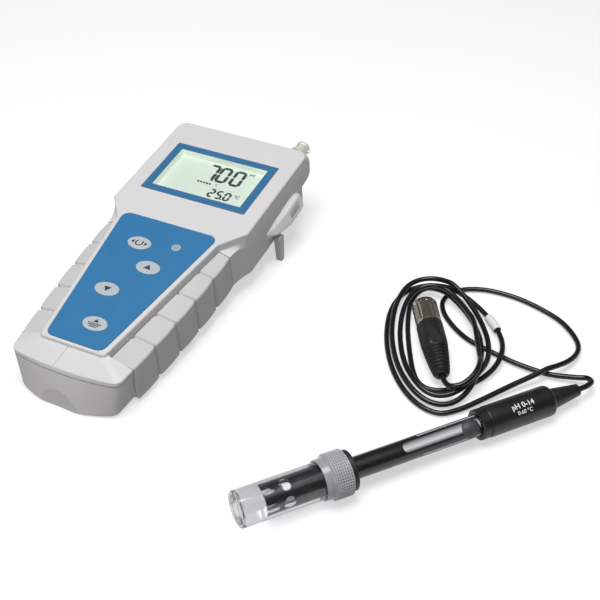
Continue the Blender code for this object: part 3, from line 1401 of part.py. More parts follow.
def make_plug():
    axis = new_empty("plug_axis", plug_matrix())
    ribbed = BOOT_LENGTH - BOOT_PLAIN_LENGTH
    bore = PLUG_CORE_RADIUS + GAP
    profile = [
        (0.0, BOOT_LENGTH - BOOT_BORE_DEPTH),
        (bore, BOOT_LENGTH - BOOT_BORE_DEPTH),
        (bore, BOOT_LENGTH),
        (BOOT_RADIUS, BOOT_LENGTH),
        (BOOT_RADIUS, ribbed + BOOT_PLAIN_LENGTH / 3),
    ]
    pitch = ribbed / (BOOT_RIB_COUNT + 0.5)
    for k in range(BOOT_RIB_COUNT):
        top = ribbed - k * pitch
        radius = BOOT_TIP_RADIUS + (BOOT_RIB_RADIUS - BOOT_TIP_RADIUS) * math.sqrt(top / ribbed)
        profile.append((radius, top))
        low = top - pitch * BOOT_RIB_LAND
        profile.append((radius, low))
        low -= pitch * BOOT_RIB_FALL
        profile.append((radius - BOOT_RIB_DEPTH, low))
        profile.append((radius - BOOT_RIB_DEPTH, low - pitch * BOOT_RIB_FLOOR))
    profile += [(BOOT_TIP_RADIUS, 0.0), (0.0, 0.0)]
    turned("plug_boot", profile, "rubber", axis, MEDIUM_STEPS)
    core_low = BOOT_LENGTH - BOOT_BORE_DEPTH + GAP
    lip_top = BOOT_LENGTH + GAP + NUT_LIP
    sleeve_top = lip_top + PLUG_SLEEVE_LENGTH
    profile = [
        (0.0, sleeve_top - PLUG_SLEEVE_DEPTH),
        (PLUG_SLEEVE_BORE, sleeve_top - PLUG_SLEEVE_DEPTH),
        (PLUG_SLEEVE_BORE, sleeve_top),
        (PLUG_SLEEVE_RADIUS, sleeve_top),
        (PLUG_SLEEVE_RADIUS, lip_top),
        (PLUG_CORE_RADIUS, lip_top),
        (PLUG_CORE_RADIUS, core_low),
        (0.0, core_low),
    ]
    turned("plug_core", profile, "nickel", axis, MEDIUM_STEPS)
    pin_low = sleeve_top - PLUG_SLEEVE_DEPTH + GAP
    profile = [
        (0.0, sleeve_top - GAP),
        (CONTACT_PIN_RADIUS, sleeve_top - GAP),
        (CONTACT_PIN_RADIUS, pin_low),
        (0.0, pin_low),
    ]
    turned("plug_pin", profile, "gold", axis, PIN_STEPS)
    low = BOOT_LENGTH + GAP
    hole = PLUG_CORE_RADIUS + RUN_GAP
    steps = 2 * NUT_FLUTES
    rings = [
        circle(NUT_RADIUS, low, steps, NUT_FLUTE_DEPTH),
        circle(NUT_RADIUS, low + NUT_LENGTH, steps, NUT_FLUTE_DEPTH),
        circle(NUT_BORE, low + NUT_LENGTH, steps),
        circle(NUT_BORE, low + NUT_LIP, steps),
        circle(hole, low + NUT_LIP, steps),
        circle(hole, low, steps),
    ]
    loft("plug_nut", rings, "nickel", axis, closed=True)


def meter_matrix():
    """Tilts the meter about its front foot, whose face is the origin."""
    turn = Matrix.Rotation(TILT, 4, "X")
    return Matrix.Translation(-(turn @ Vector((0, FOOT_Y, -FOOT_PROUD)))) @ turn


clear_scene()
PARTS = new_collection("ph_meter")
CUTTERS = new_collection("cutters")
METER = new_empty("meter_frame", meter_matrix())
ELECTRODE = new_empty("electrode_frame", electrode_matrix())

make_lower_case()
make_upper_case()
for grip_side in (-1, 1):
    make_side_grip(grip_side)
make_display()
make_keypad()
make_board()
make_batteries()
make_screws()
make_socket()
make_stand()
make_foot()
make_bottle()
make_electrode_body()
make_cable()
make_plug()
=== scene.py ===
"""Finished looks of a portable pH meter and its electrode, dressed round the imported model.

Each piece is drawn in the frame of its own sub-assembly: the meter's square frame (X across, Y from the
front edge to the socket end, Z out of the base), the electrode's axis or the plug's axis. It is then laid
in the shared frame, in metres with +Z up.
"""

import logging
from collections.abc import Callable, Sequence
from dataclasses import dataclass, field
from enum import Enum
from math import atan, atan2, copysign, cos, degrees, hypot, pi, radians, sin, sqrt, tan

import bmesh
import bpy
import numpy as np
from bmesh.types import BMesh, BMEdge, BMVert
from bpy.types import Material, Node, NodeSocket, NodeTree, Object
from mathutils import Matrix, Vector


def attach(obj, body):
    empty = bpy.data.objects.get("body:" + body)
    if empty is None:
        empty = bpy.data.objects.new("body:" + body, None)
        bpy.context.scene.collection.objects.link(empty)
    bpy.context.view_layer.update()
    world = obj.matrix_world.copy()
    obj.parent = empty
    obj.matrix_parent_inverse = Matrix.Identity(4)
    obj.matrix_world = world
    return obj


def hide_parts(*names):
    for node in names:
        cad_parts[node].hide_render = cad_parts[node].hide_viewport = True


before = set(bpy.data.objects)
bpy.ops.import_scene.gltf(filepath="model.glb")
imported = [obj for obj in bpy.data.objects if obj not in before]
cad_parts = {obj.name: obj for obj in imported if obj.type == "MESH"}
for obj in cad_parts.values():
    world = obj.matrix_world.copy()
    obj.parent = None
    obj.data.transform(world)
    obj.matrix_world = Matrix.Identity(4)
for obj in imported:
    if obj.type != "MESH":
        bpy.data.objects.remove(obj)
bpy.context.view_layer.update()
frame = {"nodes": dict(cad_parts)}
LOG = logging.getLogger("ph_meter")

# The gap between pieces, the gap round an inlay, how far one piece sits in another, and a print's thickness
GAP = 0.0003
FIT = 0.7 * GAP
SEAT = 0.00008
PRINT = 0.00005

QUARTER = pi / 2
TURN = 2 * pi
SMOOTH_ANGLE = radians(32.0)
COAT_ROUGHNESS = 0.08
CAPITAL = 0.7
STROKE = 0.02
BUMP_DEPTH = 0.0005

# Points nearer than these are one, and a mitre is no longer than this limit lets it be
WELD = 1e-7
CUT_WELD = 1e-6
DEGENERATE = 1e-8
MITRE_LIMIT = 0.35
TINY = 1e-12

Point = tuple[float, ...]
Ring = list[Point]
Path = Sequence[Point]
Tone = tuple[int, int, int]
Colour = tuple[float, float, float, float]


def ink(tone: Tone) -> Colour:
    """Turns a display colour into the linear one that shaders take.

    Args:
        tone: Red, green and blue from 0 to 255.

    Returns:
        The linear colour, with full opacity.
    """
    shares = [value / 255 for value in tone]
    linear = [share / 12.92 if share <= 0.04045 else ((share + 0.055) / 1.055) ** 2.4 for share in shares]
    return (*linear, 1.0)


class Body(str, Enum):
    """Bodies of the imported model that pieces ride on."""

    METER = "meter"
    STAND = "stand"
    UPPER_KEY = "upper_key"
    SECOND_KEY = "second_key"
    THIRD_KEY = "third_key"
    LOWER_KEY = "lower_key"
    DOOR = "door"
    ELECTRODE = "electrode"
    BOTTLE = "bottle"
    COLLAR = "collar"
    FILLER = "filler"
    NUT = "nut"


class Zone(Enum):
    """Stretches of the case's outline that have their own heights."""

    FRONT = 0
    GRIP = 1
    HEAD = 2


# Materials


class NodeSheet:
    """Adds nodes to a shader tree and links them as they are added."""

    def __init__(self, tree: NodeTree) -> None:
        """Keeps the tree that nodes are added to."""
        self.tree = tree

    def add(self, kind: str, inputs: dict | None = None, **settings: object) -> Node:
        """Adds a node, sets its properties, and sets or links its inputs.

        Args:
            kind: The node's type name.
            inputs: Values or output sockets by input name or number.
            settings: Properties of the node itself.

        Returns:
            The new node.
        """
        node = self.tree.nodes.new(kind)
        for name, value in settings.items():
            setattr(node, name, value)
        for key, value in (inputs or {}).items():
            if isinstance(value, NodeSocket):
                self.tree.links.new(value, node.inputs[key])
            else:
                node.inputs[key].default_value = value
        return node

    def math(self, operation: str, first: object, second: object = 0.0) -> NodeSocket:
        """Adds a Math node and gives its output."""
        return self.add("ShaderNodeMath", {0: first, 1: second}, operation=operation).outputs[0]

    def blend(self, share: object, first: object, second: object) -> NodeSocket:
        """Adds a colour Mix node and gives its output."""
        return self.add("ShaderNodeMix", {0: share, 6: first, 7: second}, data_type="RGBA").outputs[2]

    def spread(self, value: object, low: float, high: float) -> NodeSocket:
        """Adds a Map Range node from 0 and 1 to the given ends and gives its output."""
        return self.add("ShaderNodeMapRange", {0: value, 3: low, 4: high}).outputs[0]


class SharedEffects:
    """Node groups that more than one material uses, each built once."""

    def __init__(self) -> None:
        """Builds the groups."""
        self.grain = self._grain()
        self.marks = self._marks()
        self.turning = self._turning()

    def _group(self, name: str, inputs: dict[str, float], outputs: Sequence[str]) -> tuple:
        """Starts a group with a Vector input, number inputs and number outputs.

        Args:
            name: The group's name.
            inputs: Default values of the number inputs.
            outputs: Names of the number outputs.

        Returns:
            The group's tree, a sheet on it, and its input and output nodes.
        """
        tree = bpy.data.node_groups.new(name, "ShaderNodeTree")
        tree.interface.new_socket("Vector", in_out="INPUT", socket_type="NodeSocketVector")
        for key, value in inputs.items():
            socket = tree.interface.new_socket(key, in_out="INPUT", socket_type="NodeSocketFloat")
            socket.default_value = value
        for key in outputs:
            tree.interface.new_socket(key, in_out="OUTPUT", socket_type="NodeSocketFloat")
        sheet = NodeSheet(tree)
        return tree, sheet, sheet.add("NodeGroupInput"), sheet.add("NodeGroupOutput")

    def _grain(self) -> NodeTree:
        """Fine grain of a moulded surface, and a slow drift of its tone.

        Returns:
            The group.
        """
        tree, sheet, given, out = self._group("moulded_grain", {"Scale": 2500.0}, ("Height", "Tone"))
        vector, scale = given.outputs[0], given.outputs["Scale"]
        fine = sheet.add("ShaderNodeTexNoise", {"Vector": vector, "Scale": scale, "Detail": 3.0})
        pits = sheet.add("ShaderNodeTexVoronoi", {"Vector": vector, "Scale": scale})
        height = sheet.math("ADD", fine.outputs[0], sheet.math("MULTIPLY", pits.outputs[0], 0.4))
        slow_scale = sheet.math("MULTIPLY", scale, 0.018)
        slow = sheet.add("ShaderNodeTexNoise", {"Vector": vector, "Scale": slow_scale, "Detail": 4.0})
        drift = sheet.math("MULTIPLY", slow.outputs[0], 0.8)
        speck = sheet.math("MULTIPLY", fine.outputs[0], 0.2)
        tree.links.new(height, out.inputs["Height"])
        tree.links.new(sheet.math("ADD", drift, speck), out.inputs["Tone"])
        return tree

    def _marks(self) -> NodeTree:
        """Smears and fine rubs that handling leaves.

        Returns:
            The group.
        """
        tree, sheet, given, out = self._group("handling_marks", {"Scale": 60.0}, ("Mask",))
        vector, scale = given.outputs[0], given.outputs["Scale"]
        cloudy = {"Vector": vector, "Scale": scale, "Detail": 5.0, "Roughness": 0.62, "Distortion": 1.4}
        smear = sheet.add("ShaderNodeTexNoise", cloudy)
        long = {"Vector": vector, "Rotation": (0.3, 0.2, 0.7), "Scale": (1, 14, 1)}
        stretched = sheet.add("ShaderNodeMapping", long).outputs[0]
        close = sheet.math("MULTIPLY", scale, 5.0)
        rub = sheet.add("ShaderNodeTexNoise", {"Vector": stretched, "Scale": close, "Detail": 2.0})
        worn = sheet.add("ShaderNodeMapRange", {0: rub.outputs[0], 1: 0.58, 2: 0.75})
        soft = sheet.add("ShaderNodeMapRange", {0: smear.outputs[0], 1: 0.42, 2: 0.72})
        mask = sheet.math("MAXIMUM", soft.outputs[0], sheet.math("MULTIPLY", worn.outputs[0], 0.5))
        tree.links.new(mask, out.inputs["Mask"])
        return tree

    def _turning(self) -> NodeTree:
        """Fine rings left by turning, across the Z axis of the vector.

        Returns:
            The group.
        """
        tree, sheet, given, out = self._group("turned_lines", {"Pitch": 3000.0}, ("Height",))
        lines = {"Vector": given.outputs[0], "Scale": given.outputs["Pitch"]}
        lines |= {"Distortion": 1.2, "Detail": 2.0}
        wave = sheet.add("ShaderNodeTexWave", lines, wave_type="BANDS", bands_direction="Z")
        tree.links.new(wave.outputs[1], out.inputs["Height"])
        return tree


EFFECTS = SharedEffects()


@dataclass(frozen=True)
class Finish:
    """A surface finish: two tones, grain, handling marks and gloss."""

    name: str
    slot: str
    colour: Tone
    shade: Tone
    roughness: tuple[float, float]
    grain: float
    bump: float
    marks: float = 60.0
    metallic: float = 0.0
    coat: float = 0.0
    specular: float = 0.5
    turned: float = 0.0
    # How brightly a finish glows of itself: painted light, for a part that is no lamp
    glow: float = 0.0
    frame: Matrix | None = None

    def material(self) -> Material:
        """Makes the material on its first use.

        Returns:
            The material.
        """
        made = bpy.data.materials.get(self.name)
        if made:
            return made
        made = bpy.data.materials.new(self.name)
        made.use_nodes = True
        made.node_tree.nodes.clear()
        sheet = NodeSheet(made.node_tree)
        shader = self.shader(sheet)
        sheet.add("ShaderNodeOutputMaterial", {"Surface": self.surface(sheet, shader).outputs[0]})
        return made

    def coordinates(self, sheet: NodeSheet) -> NodeSocket:
        """Object coordinates, turned to the piece's own frame where it has one.

        Args:
            sheet: The material's sheet.

        Returns:
            The coordinates' socket.
        """
        place = sheet.add("ShaderNodeTexCoord").outputs["Object"]
        if self.frame is None:
            return place
        back = self.frame.inverted()
        settings = {"Vector": place, "Location": back.translation, "Rotation": back.to_euler()}
        return sheet.add("ShaderNodeMapping", settings).outputs[0]

    def shader(self, sheet: NodeSheet) -> Node:
        """Builds the tones, gloss and bump into a Principled shader.

        Args:
            sheet: The material's sheet.

        Returns:
            The shader node.
        """
        place = self.coordinates(sheet)
        grain = sheet.add("ShaderNodeGroup", node_tree=EFFECTS.grain)
        marks = sheet.add("ShaderNodeGroup", node_tree=EFFECTS.marks)
        for node, value in ((grain, self.grain), (marks, self.marks)):
            sheet.tree.links.new(place, node.inputs[0])
            node.inputs["Scale"].default_value = value
        height = grain.outputs["Height"]
        if self.turned:
            rings = sheet.add("ShaderNodeGroup", node_tree=EFFECTS.turning)
            sheet.tree.links.new(place, rings.inputs[0])
            rings.inputs["Pitch"].default_value = self.turned
            height = sheet.math("ADD", height, rings.outputs[0])
        bump = sheet.add("ShaderNodeBump", {"Strength": self.bump, "Distance": BUMP_DEPTH, "Height": height})
        mixed = sheet.blend(grain.outputs["Tone"], ink(self.colour), ink(self.shade))
        colour = self.tone(sheet, place, mixed)
        rough = sheet.spread(marks.outputs["Mask"], *self.roughness)
        settings = {
            "Base Color": colour,
            "Roughness": rough,
            "Normal": bump.outputs[0],
            "Metallic": self.metallic,
            "Coat Weight": self.coat,
            "Coat Roughness": COAT_ROUGHNESS,
            "Specular IOR Level": self.specular,
            "Emission Color": colour,
            "Emission Strength": self.glow,
        }
        return sheet.add("ShaderNodeBsdfPrincipled", settings)

    def tone(self, sheet: NodeSheet, place: NodeSocket, colour: NodeSocket) -> NodeSocket:
        """The base colour; a plain finish keeps its two tones."""
        return colour

    def surface(self, sheet: NodeSheet, shader: Node) -> Node:
        """The node that goes to the output; a plain finish gives its shader."""
        return shader


@dataclass(frozen=True)
class ClearFinish(Finish):
    """A clear plastic or glass that lets light through to what it covers."""

    ior: float = 1.47
    transmission: float = 1.0

    def surface(self, sheet: NodeSheet, shader: Node) -> Node:
        """Makes the shader clear, and transparent to shadow rays.

        Args:
            sheet: The material's sheet.
            shader: The Principled node.

        Returns:
            The mixing node.
        """
        shader.inputs["Transmission Weight"].default_value = self.transmission
        shader.inputs["IOR"].default_value = self.ior
        clear = sheet.add("ShaderNodeBsdfTransparent", {"Color": ink(self.colour)})
        shadow = sheet.add("ShaderNodeLightPath").outputs["Is Shadow Ray"]
        return sheet.add("ShaderNodeMixShader", {0: shadow, 1: shader.outputs[0], 2: clear.outputs[0]})


@dataclass(frozen=True)
class FilmFinish(Finish):
    """A thin clear sheet that is seen by its gloss alone."""

    opacity: float = 0.1

    def surface(self, sheet: NodeSheet, shader: Node) -> Node:
        """Sets the sheet's opacity on the shader."""
        shader.inputs["Alpha"].default_value = self.opacity
        return shader


@dataclass(frozen=True)
class HighlightStreakFinish(Finish):
    """A clear stretch of tube, painted with a highlight down its middle and with shade at its sides."""

    middle: float = 0.0
    reach: float = 1.0
    stops: tuple[tuple[float, Tone], ...] = ()

    def tone(self, sheet: NodeSheet, place: NodeSocket, colour: NodeSocket) -> NodeSocket:
        """Paints the highlight and the shade into the colour by the angle round the axis.

        Args:
            sheet: The material's sheet.
            place: Coordinates in the tube's frame.
            colour: The colour without the painted highlight and shade.

        Returns:
            The colour with the painted highlight and shade.
        """
        axes = sheet.add("ShaderNodeSeparateXYZ", {0: place})
        angle = sheet.math("ARCTAN2", axes.outputs[1], axes.outputs[0])
        ends = {0: angle, 1: self.middle - self.reach, 2: self.middle + self.reach}
        ramp = sheet.add("ShaderNodeValToRGB", {0: sheet.add("ShaderNodeMapRange", ends).outputs[0]})
        marks = ramp.color_ramp.elements
        while len(marks) < len(self.stops):
            marks.new(1.0)
        for mark, (share, shade) in zip(marks, self.stops):
            mark.position, mark.color = share, ink(shade)
        shaded = {0: 1.0, 6: colour, 7: ramp.outputs[0]}
        return sheet.add("ShaderNodeMix", shaded, data_type="RGBA", blend_type="MULTIPLY").outputs[2]


# Meshes


class Skin:
    """A surface grown ring by ring from a first loop of points."""

    def __init__(self) -> None:
        """Starts an empty mesh."""
        self.mesh: BMesh = bmesh.new()

    def edges(self, loop: Sequence[BMVert]) -> list[BMEdge]:
        """The edges between neighbours of a closed loop."""
        return [self.mesh.edges.get(pair) for pair in zip(loop, [*loop[1:], loop[0]])]

    def stack(self, rings: Sequence[Path]) -> list[list[BMVert]]:
        """Draws the first ring as a loop of edges and extrudes it through the others.

        Args:
            rings: The rings, each with the same count of points.

        Returns:
            A loop of vertices for each ring.
        """
        loops = [[self.mesh.verts.new(point) for point in rings[0]]]
        for pair in zip(loops[0], loops[0][1:] + loops[0][:1]):
            self.mesh.edges.new(pair)
        for ring in rings[1:]:
            made = bmesh.ops.extrude_edge_only(self.mesh, edges=self.edges(loops[-1]))["geom"]
            fresh = {item for item in made if isinstance(item, BMVert)}
            following = []
            for vert, place in zip(loops[-1], ring):
                others = (edge.other_vert(vert) for edge in vert.link_edges)
                twin = next(other for other in others if other in fresh)
                twin.co = place
                following.append(twin)
            loops.append(following)
        return loops

    def fill(self, *loops: Sequence[BMVert]) -> None:
        """Closes the flat area between an outer loop and the loops inside it."""
        edges = [edge for loop in loops for edge in self.edges(loop)]
        bmesh.ops.triangle_fill(self.mesh, use_beauty=True, use_dissolve=False, edges=edges)

    def close(self, rings: Sequence[Path], hoop: bool = False) -> BMesh:
        """Grows through rings and closes the skin.

        Args:
            rings: The rings.
            hoop: Whether the last ring joins the first, in place of a cap on each.

        Returns:
            The closed mesh.
        """
        loops = self.stack(rings)
        if hoop:
            bmesh.ops.bridge_loops(self.mesh, edges=self.edges(loops[-1]) + self.edges(loops[0]))
        else:
            self.fill(loops[0])
            self.fill(loops[-1])
        return self.mesh


def soften(
    mesh: BMesh, width: float, segments: int = 2, sharp: float = 35.0, edges: list[BMEdge] | None = None
) -> BMesh:
    """Rounds the edges that are sharper than an angle, or the given ones.

    Args:
        mesh: The mesh.
        width: How far the rounding reaches from each edge.
        segments: Faces across the rounding.
        sharp: The least angle in degrees between the faces of a rounded edge.
        edges: The edges to round, where they aren't picked by their angle.

    Returns:
        The same mesh.
    """
    if edges is None:
        bmesh.ops.recalc_face_normals(mesh, faces=mesh.faces)
        limit = radians(sharp)
        edges = [edge for edge in mesh.edges if edge.is_manifold and edge.calc_face_angle() > limit]
    kind = {"offset_type": "OFFSET", "affect": "EDGES", "profile": 0.5, "material": -1, "clamp_overlap": True}
    bmesh.ops.bevel(mesh, geom=edges, offset=width, segments=segments, **kind)
    return mesh


def lathe(profile: Path, steps: int = 72) -> BMesh:
    """Spins a closed profile of radius and height pairs about the Z axis.

    Args:
        profile: The profile's points.
        steps: Faces round the axis.

    Returns:
        The spun mesh.
    """
    mesh = bmesh.new()
    verts = [mesh.verts.new((radius, 0.0, z)) for radius, z in profile]
    geometry = verts + [mesh.edges.new(pair) for pair in zip(verts, verts[1:] + verts[:1])]
    sweep = {"cent": (0, 0, 0), "axis": (0, 0, 1), "angle": TURN, "steps": steps}
    bmesh.ops.spin(mesh, geom=geometry, use_merge=True, **sweep)
    bmesh.ops.remove_doubles(mesh, verts=mesh.verts, dist=WELD)
    bmesh.ops.dissolve_degenerate(mesh, edges=mesh.edges, dist=DEGENERATE)
    bmesh.ops.recalc_face_normals(mesh, faces=mesh.faces)
    return mesh


def slab(outline: Path, low: float, high: float, holes: Sequence[Path] = ()) -> BMesh:
    """A flat plate with straight sides, and holes through it.

    Args:
        outline: The plate's outline, as x and y pairs.
        low: Height of its underside.
        high: Height of its top.
        holes: Outlines of the holes.

    Returns:
        The plate's mesh.
    """
    skin = Skin()
    loops = [skin.stack([at_height(ring, low), at_height(ring, high)]) for ring in (outline, *holes)]
    for level in zip(*loops):
        skin.fill(*level)
    return skin.mesh


def block(low: Point, high: Point) -> BMesh:
    """A box between two corners.

    Args:
        low: The lowest corner.
        high: The highest corner.

    Returns:
        The box's mesh.
    """
    mesh = bmesh.new()
    bmesh.ops.create_cube(mesh, size=1.0)
    size = Vector(high) - Vector(low)
    bmesh.ops.scale(mesh, vec=size, verts=mesh.verts)
    bmesh.ops.translate(mesh, vec=Vector(low) + size / 2, verts=mesh.verts)
    return mesh


def rod(radius: float, start: Point, end: Point, steps: int = 32) -> BMesh:
    """A round bar between two points.

    Args:
        radius: The bar's radius.
        start: The middle of one end.
        end: The middle of the other end.
        steps: Faces round it.

    Returns:
        The bar's mesh.
    """
    mesh = bmesh.new()
    way = Vector(end) - Vector(start)
    size = {"radius1": radius, "radius2": radius, "depth": way.length}
    bmesh.ops.create_cone(mesh, cap_ends=True, segments=steps, **size)
    middle = Matrix.Translation((Vector(start) + Vector(end)) / 2)
    turn = way.to_track_quat("Z", "Y").to_matrix().to_4x4()
    bmesh.ops.transform(mesh, matrix=middle @ turn, verts=mesh.verts)
    return mesh


def mesh_data(name: str, mesh: BMesh) -> bpy.types.Mesh:
    """Writes a mesh out as data for an object.

    Args:
        name: The data's name.
        mesh: The mesh, which is freed.

    Returns:
        The data.
    """
    data = bpy.data.meshes.new(name)
    mesh.to_mesh(data)
    mesh.free()
    return data


def linked(name: str, data: bpy.types.ID) -> Object:
    """Puts an object in the scene.

    Args:
        name: Its name.
        data: Its mesh, curve, light or camera.

    Returns:
        The object.
    """
    owner = bpy.data.objects.new(name, data)
    bpy.context.scene.collection.objects.link(owner)
    return owner


def evaluated(owner: Object) -> BMesh:
    """An object's mesh as its modifiers leave it.

    Args:
        owner: The object.

    Returns:
        A copy of the mesh.
    """
    seen = owner.evaluated_get(bpy.context.evaluated_depsgraph_get())
    mesh = bmesh.new()
    mesh.from_mesh(seen.to_mesh())
    seen.to_mesh_clear()
    return mesh


def merge(meshes: Sequence[BMesh]) -> BMesh:
    """Puts several meshes into one, side by side.

    Args:
        meshes: The meshes, which are freed.

    Returns:
        A mesh that holds them all.
    """
    whole = bmesh.new()
    for mesh in meshes:
        scratch = mesh_data("scratch", mesh)
        whole.from_mesh(scratch)
        bpy.data.meshes.remove(scratch)
    return whole


def carve(mesh: BMesh, tools: Sequence[BMesh]) -> BMesh:
    """Cuts tools out of a closed mesh.

    Args:
        mesh: The mesh to cut, which is freed.
        tools: The tools, which are freed.

    Returns:
        The cut mesh.
    """
    owners = []
    for name, shape in (("carved", mesh), ("tool", merge(tools))):
        bmesh.ops.recalc_face_normals(shape, faces=shape.faces)
        owners.append(linked(name, mesh_data(name, shape)))
    change = owners[0].modifiers.new("cut", "BOOLEAN")
    change.operation = "DIFFERENCE"
    change.solver = "EXACT"
    change.object = owners[1]
    result = evaluated(owners[0])
    for owner in owners:
        data = owner.data
        bpy.data.objects.remove(owner)
        bpy.data.meshes.remove(data)
    bmesh.ops.remove_doubles(result, verts=result.verts, dist=CUT_WELD)
    return result


def lettering(text: str, height: float, depth: float) -> BMesh:
    """Flat letters with a little thickness, centred on the origin.

    Args:
        text: The letters.
        height: Height of a capital.
        depth: Their thickness.

    Returns:
        The letters' mesh.
    """
    curve = bpy.data.curves.new("letters", "FONT")
    curve.body = text
    curve.align_x = curve.align_y = "CENTER"
    curve.size = height / CAPITAL
    curve.resolution_u = 6
    curve.offset = STROKE * curve.size
    owner = linked("letters", curve)
    mesh = evaluated(owner)
    bpy.data.objects.remove(owner)
    bpy.data.curves.remove(curve)
    bmesh.ops.remove_doubles(mesh, verts=mesh.verts, dist=WELD)
    raise_faces(mesh, depth)
    return mesh


def raise_faces(mesh: BMesh, depth: float) -> None:
    """Gives flat faces a thickness upwards.

    Args:
        mesh: A flat mesh.
        depth: Its new thickness.
    """
    made = bmesh.ops.extrude_face_region(mesh, geom=list(mesh.faces), use_keep_orig=True)["geom"]
    verts = [item for item in made if isinstance(item, BMVert)]
    bmesh.ops.translate(mesh, vec=(0, 0, depth), verts=verts)
    bmesh.ops.recalc_face_normals(mesh, faces=mesh.faces)


def plate(outline: Path, depth: float) -> BMesh:
    """A flat outline given a thickness upwards from zero.

    Args:
        outline: Its x and y pairs.
        depth: Its thickness.

    Returns:
        The plate's mesh.
    """
    skin = Skin()
    skin.fill(*skin.stack([at_height(outline, 0.0)]))
    raise_faces(skin.mesh, depth)
    return skin.mesh


def moved(mesh: BMesh, place: Point) -> BMesh:
    """Shifts a mesh and gives it back."""
    bmesh.ops.translate(mesh, vec=place, verts=mesh.verts)
    return mesh


# Outlines


def at_height(outline: Path, z: float) -> Ring:
    """Lifts x and y pairs to a height."""
    return [(point[0], point[1], z) for point in outline]


def around(steps: int) -> np.ndarray:
    """Even angles round a full turn."""
    return np.linspace(0, TURN, steps, endpoint=False)


def arc(centre: Point, radius: float, first: float, last: float, steps: int = 8) -> Ring:
    """Points on an arc, its ends in degrees."""
    angles = np.radians(np.linspace(first, last, steps + 1))
    return [(centre[0] + radius * cos(a), centre[1] + radius * sin(a)) for a in angles]


def ellipse(place: Point, width: float, length: float, steps: int = 64) -> Ring:
    """Points on an ellipse round a place."""
    return [(place[0] + width / 2 * cos(a), place[1] + length / 2 * sin(a)) for a in around(steps)]


def circle(radius: float, z: float, steps: int, dips: int = 0, depth: float = 0.0) -> Ring:
    """A ring round the Z axis, with even dips in it.

    Args:
        radius: The ring's radius.
        z: Its height.
        steps: Its points.
        dips: How many dips it has.
        depth: How deep they are.

    Returns:
        The ring's points.
    """
    ring = []
    for angle in around(steps):
        reach = radius - depth * (0.5 - 0.5 * cos(dips * angle)) if dips else radius
        ring.append((reach * cos(angle), reach * sin(angle), z))
    return ring


def rectangle(width: float, length: float, y: float, margin: float = 0.0, corner: float = 0.0004) -> Ring:
    """A rectangle with small round corners, centred on X.

    Args:
        width: Its size across.
        length: Its size along Y.
        y: Its middle.
        margin: How much larger it is on each side.
        corner: Radius of its corners.

    Returns:
        Its outline, anticlockwise.
    """
    across, along = width / 2 + margin - corner, length / 2 + margin - corner
    outline: Ring = []
    for k, (side, end) in enumerate(((1, -1), (1, 1), (-1, 1), (-1, -1))):
        outline += arc((side * across, y + end * along), corner, 90 * (k - 1), 90 * k, 3)
    return outline


def inset(outline: Path, distance: float) -> Ring:
    """Draws an anticlockwise outline in by a distance.

    Args:
        outline: Its x and y pairs.
        distance: How far in it goes.

    Returns:
        The smaller outline, point for point.
    """
    flat = np.array([point[:2] for point in outline])
    before, after = np.roll(flat, 1, axis=0), np.roll(flat, -1, axis=0)
    drawn = []
    for a, b, c in zip(before, flat, after):
        first, second = b - a, c - b
        first = np.array([-first[1], first[0]]) / max(np.linalg.norm(first), TINY)
        second = np.array([-second[1], second[0]]) / max(np.linalg.norm(second), TINY)
        share = 1 + float(first @ second)
        drawn.append(tuple(b + distance * (first + second) / max(share, MITRE_LIMIT)))
    return drawn


def round_corners(points: Path, radii: Sequence[float], steps: int = 4) -> Ring:
    """Rounds the corners of a closed flat outline.

    Args:
        points: Its corners in order.
        radii: A radius for each corner, zero where it stays sharp.
        steps: Pieces in each rounding.

    Returns:
        The rounded outline, with the same count of points for the same radii.
    """
    rounded: Ring = []
    corners = [Vector(point) for point in points]
    for k, (corner, radius) in enumerate(zip(corners, radii)):
        if not radius:
            rounded.append(tuple(corner))
            continue
        back = (corners[k - 1] - corner).normalized()
        ahead = (corners[(k + 1) % len(corners)] - corner).normalized()
        half = back.angle(ahead) / 2
        reach = radius / tan(half)
        start, end = corner + back * reach, corner + ahead * reach
        for share in np.linspace(0, 1, steps + 1):
            bent = start * (1 - share) ** 2 + corner * (2 * share * (1 - share)) + end * share**2
            rounded.append(tuple(bent))
    return rounded


# Places of the sub-assemblies


